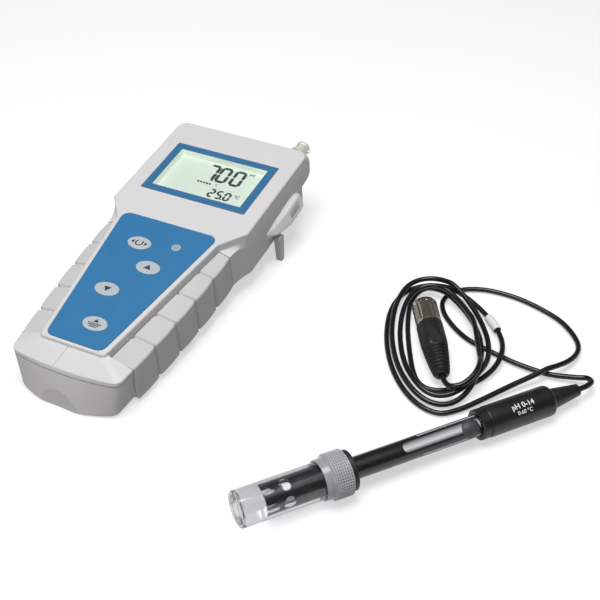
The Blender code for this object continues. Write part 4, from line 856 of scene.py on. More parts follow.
@dataclass(frozen=True)
class Layout:
    """Where the meter, the electrode and the plug lie."""

    tilt: float = radians(5.0)
    foot_y: float = 0.012
    foot_proud: float = 0.0012
    hinge: Point = (0.0, 0.1705, 0.0026)
    electrode_place: Point = (0.1276, -0.0494)
    electrode_azimuth: float = radians(50.9)
    collar_radius: float = 0.0125
    collar_rim: float = 0.05095
    cap_radius: float = 0.0088
    cap_far: float = 0.1864
    tube_radius: float = 0.006
    tube_start: float = 0.014
    # The window's half width and middle round the tube; its painted highlight runs down that middle
    window_angle: float = radians(28.0)
    window_middle: float = radians(27.0)
    relief_end: float = 0.2084
    coil_place: Point = (0.175, 0.122)
    coil_yaw: float = radians(25.1)
    plug_place: Point = (-0.0030, -0.0329)
    plug_yaw: float = radians(4.4)
    plug_height: float = 0.008

    @property
    def meter(self) -> Matrix:
        """The meter's frame, tilted about its front foot."""
        turn = Matrix.Rotation(self.tilt, 4, "X")
        return Matrix.Translation(-(turn @ Vector((0, self.foot_y, -self.foot_proud)))) @ turn

    @property
    def electrode(self) -> Matrix:
        """The electrode's frame, its Z axis from the bottle's closed end to the cable.

        Returns:
            The frame, lying on the collar's rim and the cap's far end.
        """
        slope = atan2(self.collar_radius - self.cap_radius, self.cap_far - self.collar_rim)
        level = Vector((cos(self.electrode_azimuth), sin(self.electrode_azimuth), 0))
        along = level * cos(slope) - Vector((0, 0, sin(slope)))
        up = (Vector((0, 0, 1)) - along * along.z).normalized()
        turn = Matrix((up, along.cross(up), along)).transposed().to_4x4()
        height = self.collar_radius * cos(slope) + self.collar_rim * sin(slope)
        return Matrix.Translation((*self.electrode_place, height)) @ turn

    def from_coil(self, u: float, v: float) -> Point:
        """A place on the table from the coil's own directions, right and away."""
        place = Matrix.Rotation(self.coil_yaw, 2) @ Vector((u, v))
        return (self.coil_place[0] + place.x, self.coil_place[1] + place.y)

    @property
    def plug(self) -> Matrix:
        """The plug's frame, its Z axis from the cable to the nut."""
        turn = Matrix.Rotation(self.coil_yaw + self.plug_yaw, 4, "Z") @ Matrix.Rotation(-QUARTER, 4, "X")
        return Matrix.Translation((*self.from_coil(*self.plug_place), self.plug_height)) @ turn

    def frame_of(self, body: Body) -> Matrix:
        """The frame that a body's pieces are drawn in.

        Args:
            body: The body.

        Returns:
            The plug's, the electrode's or the meter's frame.
        """
        if body is Body.NUT:
            return self.plug
        lying = (Body.ELECTRODE, Body.BOTTLE, Body.COLLAR, Body.FILLER)
        return self.electrode if body in lying else self.meter


LAYOUT = Layout()


# Finishes of the object: name, slot, two tones, least and most roughness, grain and bump

CASE = Finish(
    "case_plastic", "case_grey", (212, 211, 211), (205, 204, 204), (0.46, 0.58), 2600, 0.05, specular=0.25,
)
LOWER = Finish(
    "lower_case_plastic", "case_grey", (210, 207, 208), (203, 200, 201), (0.46, 0.58), 2600, 0.06,
    specular=0.25,
)
GRIP = Finish(
    "grip_plastic", "grip_grey", (196, 197, 196), (189, 190, 189), (0.50, 0.62), 2200, 0.08, specular=0.25,
)
# A lighter copy of the case plastic: painted light on the ears, which lie in the shade of the head's side
LIT_EAR = Finish(
    "ear_plastic_painted_light", "case_grey", (232, 231, 231), (226, 225, 225), (0.46, 0.58), 2600, 0.05, specular=0.25,
)
LEG = Finish("leg_plastic", "case_grey", (186, 184, 184), (176, 174, 174), (0.36, 0.48), 2600, 0.06)
OVERLAY = Finish("overlay_film", "blue", (46, 113, 163), (51, 118, 168), (0.34, 0.46), 3200, 0.05)
BEZEL = Finish("bezel_print", "blue", (50, 106, 149), (56, 112, 154), (0.32, 0.44), 3200, 0.04)
# The liner's faint glow is painted light, which lifts the shade on the window's walls
GLOWING_LINER = Finish("glowing_window_liner", "white", (226, 236, 224), (218, 229, 214), (0.45, 0.60), 2600, 0.05, glow=0.22)
KEY = Finish("key_silver", "key_grey", (186, 193, 198), (170, 178, 184), (0.34, 0.46), 2600, 0.06)
ICON = Finish("icon_print", "black", (44, 50, 56), (58, 64, 70), (0.45, 0.60), 4000, 0.03)
LCD = Finish("lcd_glass", "lcd_green", (212, 226, 213), (204, 220, 205), (0.30, 0.38), 900, 0.01)
DIGIT = Finish("lcd_segments", "black", (14, 24, 26), (26, 36, 38), (0.40, 0.50), 3000, 0.01)
LENS = FilmFinish(
    "display_cover", "clear", (245, 250, 248), (240, 247, 245), (0.05, 0.12), 800, 0.01, opacity=0.02,
)
INDICATOR = Finish(
    "indicator_lens", "clear", (150, 158, 170), (168, 172, 182), (0.18, 0.30), 1800, 0.03, coat=0.4,
)
BLACK = Finish("moulded_black", "black", (20, 20, 22), (27, 27, 30), (0.32, 0.46), 2400, 0.08)
RUBBER = Finish("soft_black", "rubber", (20, 20, 22), (28, 28, 31), (0.42, 0.58), 2200, 0.12)
PALE_RUBBER = Finish("filler_rubber", "rubber", (58, 58, 62), (66, 66, 70), (0.46, 0.60), 2200, 0.10)
WHITE = Finish("white_sleeve", "white", (232, 232, 230), (218, 219, 219), (0.42, 0.55), 2400, 0.08)
STEEL = Finish("steel", "steel", (196, 198, 202), (170, 172, 178), (0.22, 0.34), 2600, 0.05, metallic=1.0)
GOLD = Finish(
    "gold_contact", "gold", (226, 190, 118), (210, 172, 100), (0.18, 0.28), 2600, 0.03, metallic=1.0
)
BOARD = Finish("board_mask", "board_green", (28, 104, 62), (22, 88, 52), (0.28, 0.40), 1500, 0.05)
JACKET = Finish("cell_jacket", "cell_jacket", (70, 74, 80), (92, 96, 102), (0.24, 0.34), 1200, 0.03)
CABLE_SKIN = Finish("cable_skin", "cable_black", (16, 16, 18), (22, 22, 25), (0.26, 0.40), 2600, 0.06)
SOCKET_METAL = Finish(
    "socket_nickel", "nickel", (232, 229, 220), (222, 218, 208), (0.40, 0.52), 2600, 0.04, metallic=0.35,
    turned=900,
)
NUT_METAL = Finish(
    "nut_nickel", "nickel", (206, 198, 184), (178, 170, 156), (0.20, 0.32), 2600, 0.04, metallic=1.0,
    turned=900,
)
TUBE = Finish("tube_black", "black", (14, 14, 16), (20, 20, 23), (0.30, 0.40), 1800, 0.02, coat=0.3)
# Pale lines along the window's sides: painted highlights at the tube's edges
RIM_HIGHLIGHT = Finish("window_rim_highlight", "clear", (176, 176, 181), (158, 158, 163), (0.20, 0.32), 1800, 0.02, coat=0.4)
BOTTLE = ClearFinish(
    "bottle_clear", "clear", (234, 233, 235), (226, 225, 227), (0.02, 0.08), 900, 0.01,
    frame=LAYOUT.electrode,
)
COLLAR = ClearFinish(
    "collar_clear", "clear", (208, 208, 211), (192, 192, 196), (0.08, 0.18), 1400, 0.03, transmission=0.60,
)
RIDGE = Finish("collar_ridge", "clear", (194, 194, 198), (180, 180, 185), (0.20, 0.32), 1400, 0.03, coat=0.4)
LIQUID = ClearFinish(
    "storage_liquid", "clear", (249, 249, 250), (246, 246, 247), (0.0, 0.02), 900, 0.0, ior=1.34,
)
GLASS = ClearFinish(
    "bulb_glass", "glass", (240, 242, 242), (232, 235, 236), (0.04, 0.12), 900, 0.0, ior=1.5,
    transmission=0.55,
)
# The window's pale core is a painted highlight and its dark sides are painted shade, set by the angle round
# the tube
WINDOW_HIGHLIGHT = HighlightStreakFinish(
    "tube_window_highlight", "clear", (252, 252, 255), (238, 238, 243), (0.16, 0.26), 1200, 0.02, coat=0.6,
    frame=LAYOUT.electrode, middle=LAYOUT.window_middle, reach=LAYOUT.window_angle,
    stops=((0.0, (56, 56, 60)), (0.66, (222, 222, 224)), (1.0, (56, 56, 60))),
)


def piece(name: str, mesh: BMesh, body: Body, finish: Finish, place: Matrix | None = None) -> Object:
    """Lays a mesh in the shared frame, hangs it on its body and lets it stand for the node of its name.

    Args:
        name: The piece's name, which is the node's where it stands for one.
        mesh: Its mesh in the frame it is drawn in, which is freed.
        body: The body it rides on.
        finish: Its finish.
        place: The frame it is drawn in, where that isn't its body's own.

    Returns:
        The piece's object.
    """
    matrix = LAYOUT.frame_of(body) if place is None else place
    bmesh.ops.transform(mesh, matrix=matrix, verts=mesh.verts)
    bmesh.ops.recalc_face_normals(mesh, faces=mesh.faces)
    data = mesh_data(name, mesh)
    data.shade_smooth()
    data.set_sharp_from_angle(angle=SMOOTH_ANGLE)
    owner = linked(name, data)
    even = owner.modifiers.new("even_shading", "WEIGHTED_NORMAL")
    even.keep_sharp = True
    data.materials.append(finish.material())
    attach(owner, body.value)
    if name in frame["nodes"]:
        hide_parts(name)
    LOG.info("%s: %d faces on %s", name, len(data.polygons), body.value)
    return owner


def dress(finish: Finish, *nodes: str) -> None:
    """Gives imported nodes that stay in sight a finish.

    Args:
        finish: The finish.
        nodes: Names of the nodes.
    """
    for name in nodes:
        data = frame["nodes"][name].data
        data.materials.clear()
        data.materials.append(finish.material())
        LOG.info("%s: dressed in %s", name, finish.name)


# Meter


@dataclass
class CaseOutline:
    """The case's outline at any height."""

    length: float = 0.2278
    top: float = 0.033
    wall: float = 0.0024
    foot: float = 0.0276
    head_half: float = 0.048
    neck_y: float = 0.1366
    head_corner: float = 0.007
    front_corner: float = 0.0056
    base_corner: float = 0.0064
    front_draft: float = 0.0034
    front_lean: float = 0.0048
    front_bow: float = 0.0022
    base_bow: float = 0.0066
    front_width: float = 0.070
    belly_width: float = 0.0866
    belly_y: float = 0.115
    shoulder: float = 0.0254
    grip_start: float = 0.018
    grip_end: float = 0.120
    grip_recess: float = 0.0021
    overlay_front: float = 0.0175
    overlay_rear: float = 0.1258
    overlay_front_width: float = 0.0367
    overlay_rear_width: float = 0.0663
    overlay_corner: float = 0.0048
    plateau_margin: float = 0.0035
    plateau_front: float = 0.0023
    plateau_corner: float = 0.0034
    neck_flare: float = 1.7
    swell: float = 0.0009
    rear_swell: float = 1.6

    def swollen(self, ring: Ring, share: float) -> Ring:
        """Bulges a ring's head a little towards its rear corners.

        Args:
            ring: The ring.
            share: How much of the full bulge it has.

        Returns:
            The bulged ring.
        """
        pushed = []
        for x, y, z in ring:
            rise = min(max((y - self.neck_y) / (self.length - self.neck_y), 0.0), 1.0)
            reach = self.swell * share * rise
            out = copysign(reach, x) * min(abs(x) / self.head_half, 1.0)
            pushed.append((x + out, y + self.rear_swell * reach * rise, z))
        return pushed

    def grip_half(self, y: float) -> float:
        """Half the grip's width at y, which swells from the front edge to the belly."""
        rise = sin(QUARTER * min(max(y / self.belly_y, 0.0), 1.0))
        return (self.front_width + (self.belly_width - self.front_width) * rise) / 2

    def overlay_half(self, y: float) -> float:
        """Half the overlay's width at y."""
        share = (y - self.overlay_front) / (self.overlay_rear - self.overlay_front)
        return (self.overlay_front_width + (self.overlay_rear_width - self.overlay_front_width) * share) / 2

    def plateau_half(self, y: float) -> float:
        """Half the raised keypad's width, which runs out to the head's corner behind the grips.

        Args:
            y: Where it is measured.

        Returns:
            Half the width.
        """
        if y <= self.grip_end:
            return self.overlay_half(y) + self.plateau_margin
        start = self.overlay_half(self.grip_end) + self.plateau_margin
        share = (y - self.grip_end) / (self.neck_y - self.grip_end)
        return start + (self.head_half - start) * share

    def ring(
        self,
        half_at: Callable[[float], float],
        front_y: float,
        corner: float,
        rear_y: float,
        heights: Sequence[float],
        inwards: float,
        recess: float = 0.0,
        bow: float = 0.0,
        flare: float = 1.0,
        draft: float = 0.0,
    ) -> Ring:
        """One level's ring, anticlockwise from the front's middle.

        Args:
            half_at: Half the width at y.
            front_y: Where the front face is.
            corner: Radius of the front corners.
            rear_y: Where the rear face is.
            heights: Heights of the three zones.
            inwards: How far in the ring is drawn.
            recess: How far the grips' seats are let in.
            bow: How far the front's middle stands out.
            flare: How late the neck widens to the head, from 1 for a straight neck.
            draft: How much narrower each side is in front of the grips.

        Returns:
            The ring.
        """
        corner_x = half_at(front_y + corner) - draft
        turn = degrees(atan2(2 * bow, corner_x))
        bend = arc((corner_x - corner, front_y + corner), corner, turn - 90, 0, 8)
        end_x, end_y = bend[0]
        right: list[tuple[float, float, Zone]] = []
        for share in np.linspace(0, 1, 10, endpoint=False):
            right.append((end_x * share, end_y - bow * (1 - share * share), Zone.FRONT))
        right += [(x, y, Zone.FRONT) for x, y in bend]
        right.append((half_at(self.grip_start) - draft, self.grip_start, Zone.FRONT))
        for y in np.linspace(self.grip_start + GAP, self.grip_end, 11):
            right.append((half_at(y) - recess, float(y), Zone.GRIP))
        start = half_at(self.grip_end)
        for share in np.linspace(0, 1, 7):
            y = self.grip_end + GAP + (self.neck_y - self.grip_end - GAP) * share
            right.append((start + (self.head_half - start) * share**flare, float(y), Zone.HEAD))
        rear = (self.head_half - self.head_corner, rear_y - self.head_corner)
        right += [(x, y, Zone.HEAD) for x, y in arc(rear, self.head_corner, 0, 90, 8)]
        left = [(-x, y, zone) for x, y, zone in reversed(right[1:])]
        points = [*right, (0.0, rear_y, Zone.HEAD), *left]
        flat = inset(points, inwards) if inwards else points
        return [(place[0], place[1], heights[point[2].value]) for place, point in zip(flat, points)]

    def outer(self, heights: Sequence[float], rear_y: float, inwards: float = 0.0) -> Ring:
        """The case's side.

        Args:
            heights: Heights of its three zones.
            rear_y: Where the rear face is.
            inwards: How far in it is drawn.

        Returns:
            The ring.
        """
        share = heights[0] / self.shoulder
        corner = self.base_corner + (self.front_corner - self.base_corner) * share
        bow = self.base_bow + (self.front_bow - self.base_bow) * share
        shape = (self.grip_recess, bow, self.neck_flare, self.front_draft * (1 - share))
        return self.ring(self.grip_half, self.front_lean * share, corner, rear_y, heights, inwards, *shape)

    def plateau(self, heights: Sequence[float], rear_y: float, inwards: float = 0.0) -> Ring:
        """The ring of the raised keypad and the head."""
        front_y = self.overlay_front - self.plateau_front
        return self.ring(self.plateau_half, front_y, self.plateau_corner, rear_y, heights, inwards)

    def overlay(self, margin: float) -> Ring:
        """The keypad overlay's outline, wider towards the display.

        Args:
            margin: How much larger it is all round.

        Returns:
            Its outline, anticlockwise.
        """
        front, rear = self.overlay_front - margin, self.overlay_rear + margin
        radius = self.overlay_corner + margin
        lean = self.overlay_half(self.overlay_rear) - self.overlay_half(self.overlay_front)
        lean /= self.overlay_rear - self.overlay_front
        slant = degrees(atan(lean))
        spread = sqrt(1 + lean * lean)
        front_x = self.overlay_half(front + radius) + (margin - radius) * spread
        rear_x = self.overlay_half(rear - radius) + (margin - radius) * spread
        right = arc((front_x, front + radius), radius, -90, -slant, 8)
        right += arc((rear_x, rear - radius), radius, -slant, 90, 8)
        return right + [(-x, y) for x, y in reversed(right)]


OUTLINE = CaseOutline()

# Outlines of the signs on the keys
SIGNS: dict[str, list[Ring]] = {
    "key_upper": [
        arc((0.0, 0.0), 0.0027, 125, 415, 24) + arc((0.0, 0.0), 0.0019, 415, 125, 24),
        rectangle(0.0008, 0.0026, 0.0016),
        *([(side * 0.0056, 0.0), (side * 0.0036, 0.0015), (side * 0.0036, -0.0015)] for side in (-1, 1)),
    ],
    "key_second": [[(-0.0024, -0.0016), (0.0024, -0.0016), (0.0, 0.0022)]],
    "key_third": [[(-0.0024, 0.0016), (0.0, -0.0022), (0.0024, 0.0016)]],
    "key_lower": [
        [(-0.0018, 0.0008), (0.0018, 0.0008), (0.0, 0.0034)],
        rectangle(0.0090, 0.0006, -0.0004),
        rectangle(0.0072, 0.0006, -0.0016),
        rectangle(0.0048, 0.0006, -0.0028),
    ],
}


@dataclass
class Keypad:
    """The overlay with its oval keys and indicator."""

    recess: float = 0.0007
    thickness: float = 0.0006
    edge: float = 0.00012
    underside: float = 0.0306
    stem: float = 0.004
    stem_low: float = 0.0250
    flange: float = 0.001
    width: float = 0.0158
    length: float = 0.0108
    dish: tuple[float, float] = (0.80, 0.78)
    proud: float = 0.0005
    run_gap: float = 0.0004
    sign_depth: float = 0.00006
    indicator_place: Point = (0.0138, 0.1081)
    indicator_radius: float = 0.0026
    indicator_dome: float = 0.0003
    indicator_lift: float = 0.2 * GAP
    ring_proud: float = 0.00025
    ring_edge: float = 0.0001
    keys: dict[str, tuple[Body, Point]] = field(
        default_factory=lambda: {
            "key_upper": (Body.UPPER_KEY, (-0.0090, 0.1033)),
            "key_second": (Body.SECOND_KEY, (0.0072, 0.0862)),
            "key_third": (Body.THIRD_KEY, (-0.0056, 0.0612)),
            "key_lower": (Body.LOWER_KEY, (0.0034, 0.0343)),
        }
    )

    def holes(self, gap: float) -> list[Ring]:
        """Outlines of the holes that the keys and the indicator show through.

        Args:
            gap: The gap round each key.

        Returns:
            The outlines.
        """
        across = 2 * (self.indicator_radius + GAP)
        width, length = self.width + 2 * gap, self.length + 2 * gap
        keys = [ellipse(place, width, length) for _, place in self.keys.values()]
        return [*keys, ellipse(self.indicator_place, across, across, 40)]

    def build(self) -> None:
        """Builds the overlay, the indicator, the keys and their signs."""
        low = OUTLINE.top - self.recess + GAP
        overlay = slab(OUTLINE.overlay(FIT), low, low + self.thickness, self.holes(self.run_gap / 3))
        piece("keypad_overlay", soften(overlay, self.edge, 2, 60), Body.METER, OVERLAY)
        self.build_indicator()
        for name, (body, place) in self.keys.items():
            piece(name, self.key(place), body, KEY)
            sign = merge([plate(outline, self.sign_depth) for outline in SIGNS[name]])
            piece(name + "_sign", moved(sign, (*place, OUTLINE.top + self.proud)), body, ICON)

    def build_indicator(self) -> None:
        """Builds the indicator as a low dome on a foot, and the bright ring round it."""
        place, radius = (*self.indicator_place, 0.0), self.indicator_radius
        foot, high = radius + 2 * GAP, self.underside - GAP
        low, rim = high - self.flange, OUTLINE.top + self.thickness - self.recess + self.indicator_lift
        profile = [(0.0, low), (foot, low), (foot, high), (radius, high)]
        for turn in np.linspace(0, QUARTER, 7)[:-1]:
            profile.append((radius * cos(turn), rim + self.indicator_dome * sin(turn)))
        profile.append((0.0, rim + self.indicator_dome))
        piece("indicator_lens", moved(lathe(profile, 48), place), Body.METER, INDICATOR)
        low, high = rim - GAP, rim + self.ring_proud
        rows = [(radius + GAP, low), (radius + GAP, high), (radius - GAP, high), (radius - GAP, low)]
        piece("indicator_ring", moved(soften(lathe(rows, 48), self.ring_edge), place), Body.METER, KEY)

    def key(self, place: Point) -> BMesh:
        """One key: an oval with a soft rim and a faintly dished top.

        Args:
            place: Its middle.

        Returns:
            The key's mesh.
        """
        width, length, wide = self.width, self.length, 2 * self.flange
        high, top = self.underside - GAP, OUTLINE.top
        low = high - self.flange
        sizes = [
            (self.stem, self.stem, self.stem_low), (self.stem, self.stem, low),
            (width + wide, length + wide, low), (width + wide, length + wide, high),
            (width, length, high), (width, length, top),
        ]
        for turn in QUARTER * np.linspace(0.2, 1.0, 5):
            draw = 2 * self.proud * (1 - cos(turn))
            sizes.append((width - draw, length - draw, top + self.proud * sin(turn)))
        sizes.append((width * self.dish[0], length * self.dish[1], top + self.proud))
        return Skin().close([at_height(ellipse(place, across, along), z) for across, along, z in sizes])


@dataclass
class Display:
    """The bezel, the cover and the panel with its figures."""

    width: float = 0.0738
    length: float = 0.0499
    centre_y: float = 0.1767
    thickness: float = 0.0011
    recess: float = 0.0011
    corner: float = 0.0006
    edge: float = 0.0003
    trim: float = 0.0001
    lip: float = 0.001
    window_width: float = 0.0634
    window_length: float = 0.0397
    liner: tuple[float, float, float] = (-0.00002, -0.00025, -0.00040)
    liner_drop: float = 0.0004
    panel_top: float = 0.0292
    print_lift: float = 0.00002
    # Rows: a figure's width, height and stroke, the row's y, its figures with their x, and its point
    rows: tuple[tuple, ...] = (
        (
            (0.0084, 0.0162, 0.0022), 0.1777,
            ((7, -0.0080), (0, 0.0007), (0, 0.0109)), (0.0018, -0.0003, 0.1785),
        ),
        (
            (0.0047, 0.0086, 0.0015), 0.1624,
            ((2, 0.0036), (5, 0.0092), (0, 0.0148)), (0.0011, 0.0142, 0.1629),
        ),
    )
    units: tuple[tuple[str, float, Point], ...] = (
        ("pH", 0.0022, (0.0222, 0.1928)), ("°C", 0.0026, (0.0230, 0.1686)), ("T", 0.0018, (0.0050, 0.1745)),
    )
    # Small marks: x, y, width and length
    marks: tuple[Point, ...] = (
        (-0.0080, 0.1745, 0.0014, 0.0016), (-0.0058, 0.1745, 0.0016, 0.0016),
        (-0.0036, 0.1745, 0.0013, 0.0016), (-0.0015, 0.1745, 0.0016, 0.0016),
        (0.0006, 0.1745, 0.0013, 0.0016), (-0.0186, 0.1600, 0.0034, 0.0012),
        (-0.0148, 0.1600, 0.0028, 0.0012), (0.0034, 0.1590, 0.0034, 0.0012),
        (0.0076, 0.1590, 0.0036, 0.0012), (0.0122, 0.1590, 0.0040, 0.0012),
        (0.0192, 0.1596, 0.0036, 0.0012), (0.0236, 0.1596, 0.0036, 0.0012),
    )

    def build(self) -> None:
        """Builds the bezel and the figures, and dresses the cover and the panel."""
        self.build_bezel()
        self.build_figures()
        dress(LCD, "lcd_panel")
        dress(LENS, "display_lens")

    def seat(self, margin: float, corner: float) -> Ring:
        """The bezel's outline, larger by a margin."""
        return rectangle(self.width, self.length, self.centre_y, margin, corner)

    def window(self, margin: float, corner: float) -> Ring:
        """The window's outline, larger by a margin."""
        return rectangle(self.window_width, self.window_length, self.centre_y, margin, corner)

    def build_bezel(self) -> None:
        """Builds the frame round the window, with soft edges, and the pale liner under its inner edge, whose
        faint glow is painted light.
        """
        low, bottom = OUTLINE.top - self.recess + GAP, OUTLINE.top - OUTLINE.wall + GAP
        high, edge, trim, lip = low + self.thickness, self.edge, self.trim, self.lip
        outer = ((FIT, low), (FIT, high - edge), (FIT - trim, high - trim), (FIT - edge, high))
        inner = ((edge, high), (trim, high - trim), (0.0, high - edge), (0.0, bottom))
        inner += ((lip, bottom), (lip, low))
        rings = [at_height(self.seat(margin, self.corner), z) for margin, z in outer]
        rings += [at_height(self.window(margin, self.corner), z) for margin, z in inner]
        piece("display_bezel", Skin().close(rings, True), Body.METER, BEZEL)
        back, front, foot = self.liner
        low, high = self.panel_top + SEAT, high - self.liner_drop
        sides = ((back, low), (back, high), (front, high), (foot, low))
        rings = [at_height(self.window(margin, self.corner), z) for margin, z in sides]
        # The liner glows faintly, as painted light
        piece("glowing_window_liner", Skin().close(rings, True), Body.METER, GLOWING_LINER)

    def build_figures(self) -> None:
        """Draws the figures, their points, the units and the small marks on the panel."""
        shapes = []
        for size, y, figures, (dot, dot_x, dot_y) in self.rows:
            for figure, x in figures:
                shapes += SegmentFigure(figure, *size).shapes((x, y))
            shapes.append(moved(plate(rectangle(dot, dot, 0.0), PRINT), (dot_x, dot_y, 0.0)))
        for text, height, place in self.units:
            shapes.append(moved(lettering(text, height, PRINT), (*place, 0.0)))
        for x, y, wide, long in self.marks:
            shapes.append(moved(plate(rectangle(wide, long, 0.0, 0.0, self.trim), PRINT), (x, y, 0.0)))
        mesh = moved(merge(shapes), (0.0, 0.0, self.panel_top + self.print_lift))
        piece("lcd_figures", mesh, Body.METER, DIGIT)


@dataclass
class SegmentFigure:
    """One figure of a seven-segment display."""

    figure: int
    width: float
    height: float
    stroke: float
    gap: float = 0.00005

    def lit(self) -> str:
        """Letters of the segments that the figure lights."""
        return {0: "abcdef", 2: "abged", 5: "afgcd", 7: "abc"}[self.figure]

    def bar(self, start: Point, end: Point) -> BMesh:
        """A segment with pointed ends between two places.

        Args:
            start: Its first tip.
            end: Its second tip.

        Returns:
            The segment's mesh.
        """
        way = (Vector(end) - Vector(start)).normalized()
        side, shoulder = Vector((-way.y, way.x)) * self.stroke / 2, way * self.stroke / 2
        first, second = Vector(start) + way * self.gap, Vector(end) - way * self.gap
        near, far = first + shoulder, second - shoulder
        outline = (first, near - side, far - side, second, far + side, near + side)
        return plate([tuple(point) for point in outline], PRINT)

    def shapes(self, place: Point) -> list[BMesh]:
        """The figure's lit segments.

        Args:
            place: Its lower left corner.

        Returns:
            A mesh for each segment.
        """
        half = self.stroke / 2
        left, right = place[0] + half, place[0] + self.width - half
        low, high = place[1] + half, place[1] + self.height - half
        middle = (low + high) / 2
        ends = {
            "a": ((left, high), (right, high)),
            "b": ((right, high), (right, middle)),
            "c": ((right, middle), (right, low)),
            "d": ((left, low), (right, low)),
            "e": ((left, middle), (left, low)),
            "f": ((left, high), (left, middle)),
            "g": ((left, middle), (right, middle)),
        }
        return [self.bar(*ends[letter]) for letter in self.lit()]


@dataclass
class UpperCase:
    """The top shell, with seats for the overlay and the bezel."""

    keypad: Keypad
    display: Display
    top_edge: float = 0.0012
    rear_lean: float = 0.0028
    parting: float = 0.0229
    grip_parting: float = 0.0191
    head_parting: float = 0.0223
    front_foot: float = 0.0309
    foot_swell: float = 0.7
    front_edge: float = 0.0006
    seat_edge: float = 0.00025
    seat_corner: float = 0.0004
    line_radius: float = 0.0004
    line: tuple[Point, Point] = ((-0.0056, 0.0026, 0.0252), (-0.0018, 0.0156, 0.0310))

    def build(self) -> None:
        """Builds the shell as one closed skin, with a fine groove across the front shoulder."""
        skin = Skin()
        length, rear = OUTLINE.length, OUTLINE.length - self.rear_lean
        recess, wall, ceiling = OUTLINE.grip_recess, OUTLINE.wall, OUTLINE.top - OUTLINE.wall
        low = (self.parting, self.grip_parting, self.head_parting)
        edge = (OUTLINE.shoulder, OUTLINE.shoulder - recess, OUTLINE.shoulder)
        foot = (self.front_foot, OUTLINE.foot - recess, OUTLINE.foot)
        rings = [
            OUTLINE.plateau((ceiling,) * 3, rear, wall),
            OUTLINE.plateau([z - wall for z in foot], rear, wall),
            OUTLINE.outer([z - wall for z in edge], rear, wall),
            OUTLINE.outer(low, rear, wall),
            OUTLINE.swollen(OUTLINE.outer(low, length), 1.0),
            OUTLINE.swollen(OUTLINE.outer(edge, length), 1.0),
            OUTLINE.swollen(OUTLINE.plateau(foot, length), self.foot_swell),
        ]
        for turn in np.linspace(0, QUARTER, 6):
            z = OUTLINE.top - self.top_edge * (1 - sin(turn))
            rings.append(OUTLINE.plateau((z,) * 3, rear, self.top_edge * (1 - cos(turn))))
        loops = skin.stack(rings)
        seats, openings = self.seats(skin, ceiling)
        skin.fill(loops[-1], *seats)
        skin.fill(loops[0], *openings)
        shoulder, fold = self.front_edges(skin, loops[5]), self.front_edges(skin, loops[6])
        for edges in (shoulder, fold):
            soften(skin.mesh, self.front_edge, 3, edges=[edge for edge in edges if edge.is_valid])
        mesh = carve(skin.mesh, [rod(self.line_radius, *self.line, 16)])
        piece("upper_case", mesh, Body.METER, CASE)

    def front_edges(self, skin: Skin, loop: Sequence[BMVert]) -> list[BMEdge]:
        """A loop's edges in front of the grips."""
        limit = OUTLINE.grip_start + GAP / 2
        return [edge for edge in skin.edges(loop) if all(vert.co.y < limit for vert in edge.verts)]

    def seats(self, skin: Skin, ceiling: float) -> tuple[list[list[BMVert]], list[list[BMVert]]]:
        """Sinks the overlay's and the bezel's seats, with their openings down to the ceiling.

        Args:
            skin: The shell's skin.
            ceiling: Height of the shell's inner face.

        Returns:
            The seats' rims at the top, and the openings' rims at the ceiling.
        """
        rim_highlights, openings = [], []
        keypad, display, top, soft = self.keypad, self.display, OUTLINE.top, self.seat_edge
        window = display.window(display.lip + GAP, self.seat_corner)
        seats = (
            (OUTLINE.overlay(GAP), keypad.recess, keypad.holes(keypad.run_gap)),
            (display.seat(GAP, self.seat_corner), display.recess, [window]),
        )
        for outline, depth, holes in seats:
            levels = ((inset(outline, -soft), top), (outline, top - soft), (outline, top - depth))
            rim, _, floor = skin.stack([at_height(ring, z) for ring, z in levels])
            rim_highlights.append(rim)
            pierced = []
            for hole in holes:
                upper, lower = skin.stack([at_height(hole, top - depth), at_height(hole, ceiling)])
                pierced.append(upper)
                openings.append(lower)
            skin.fill(floor, *pierced)
        return rim_highlights, openings


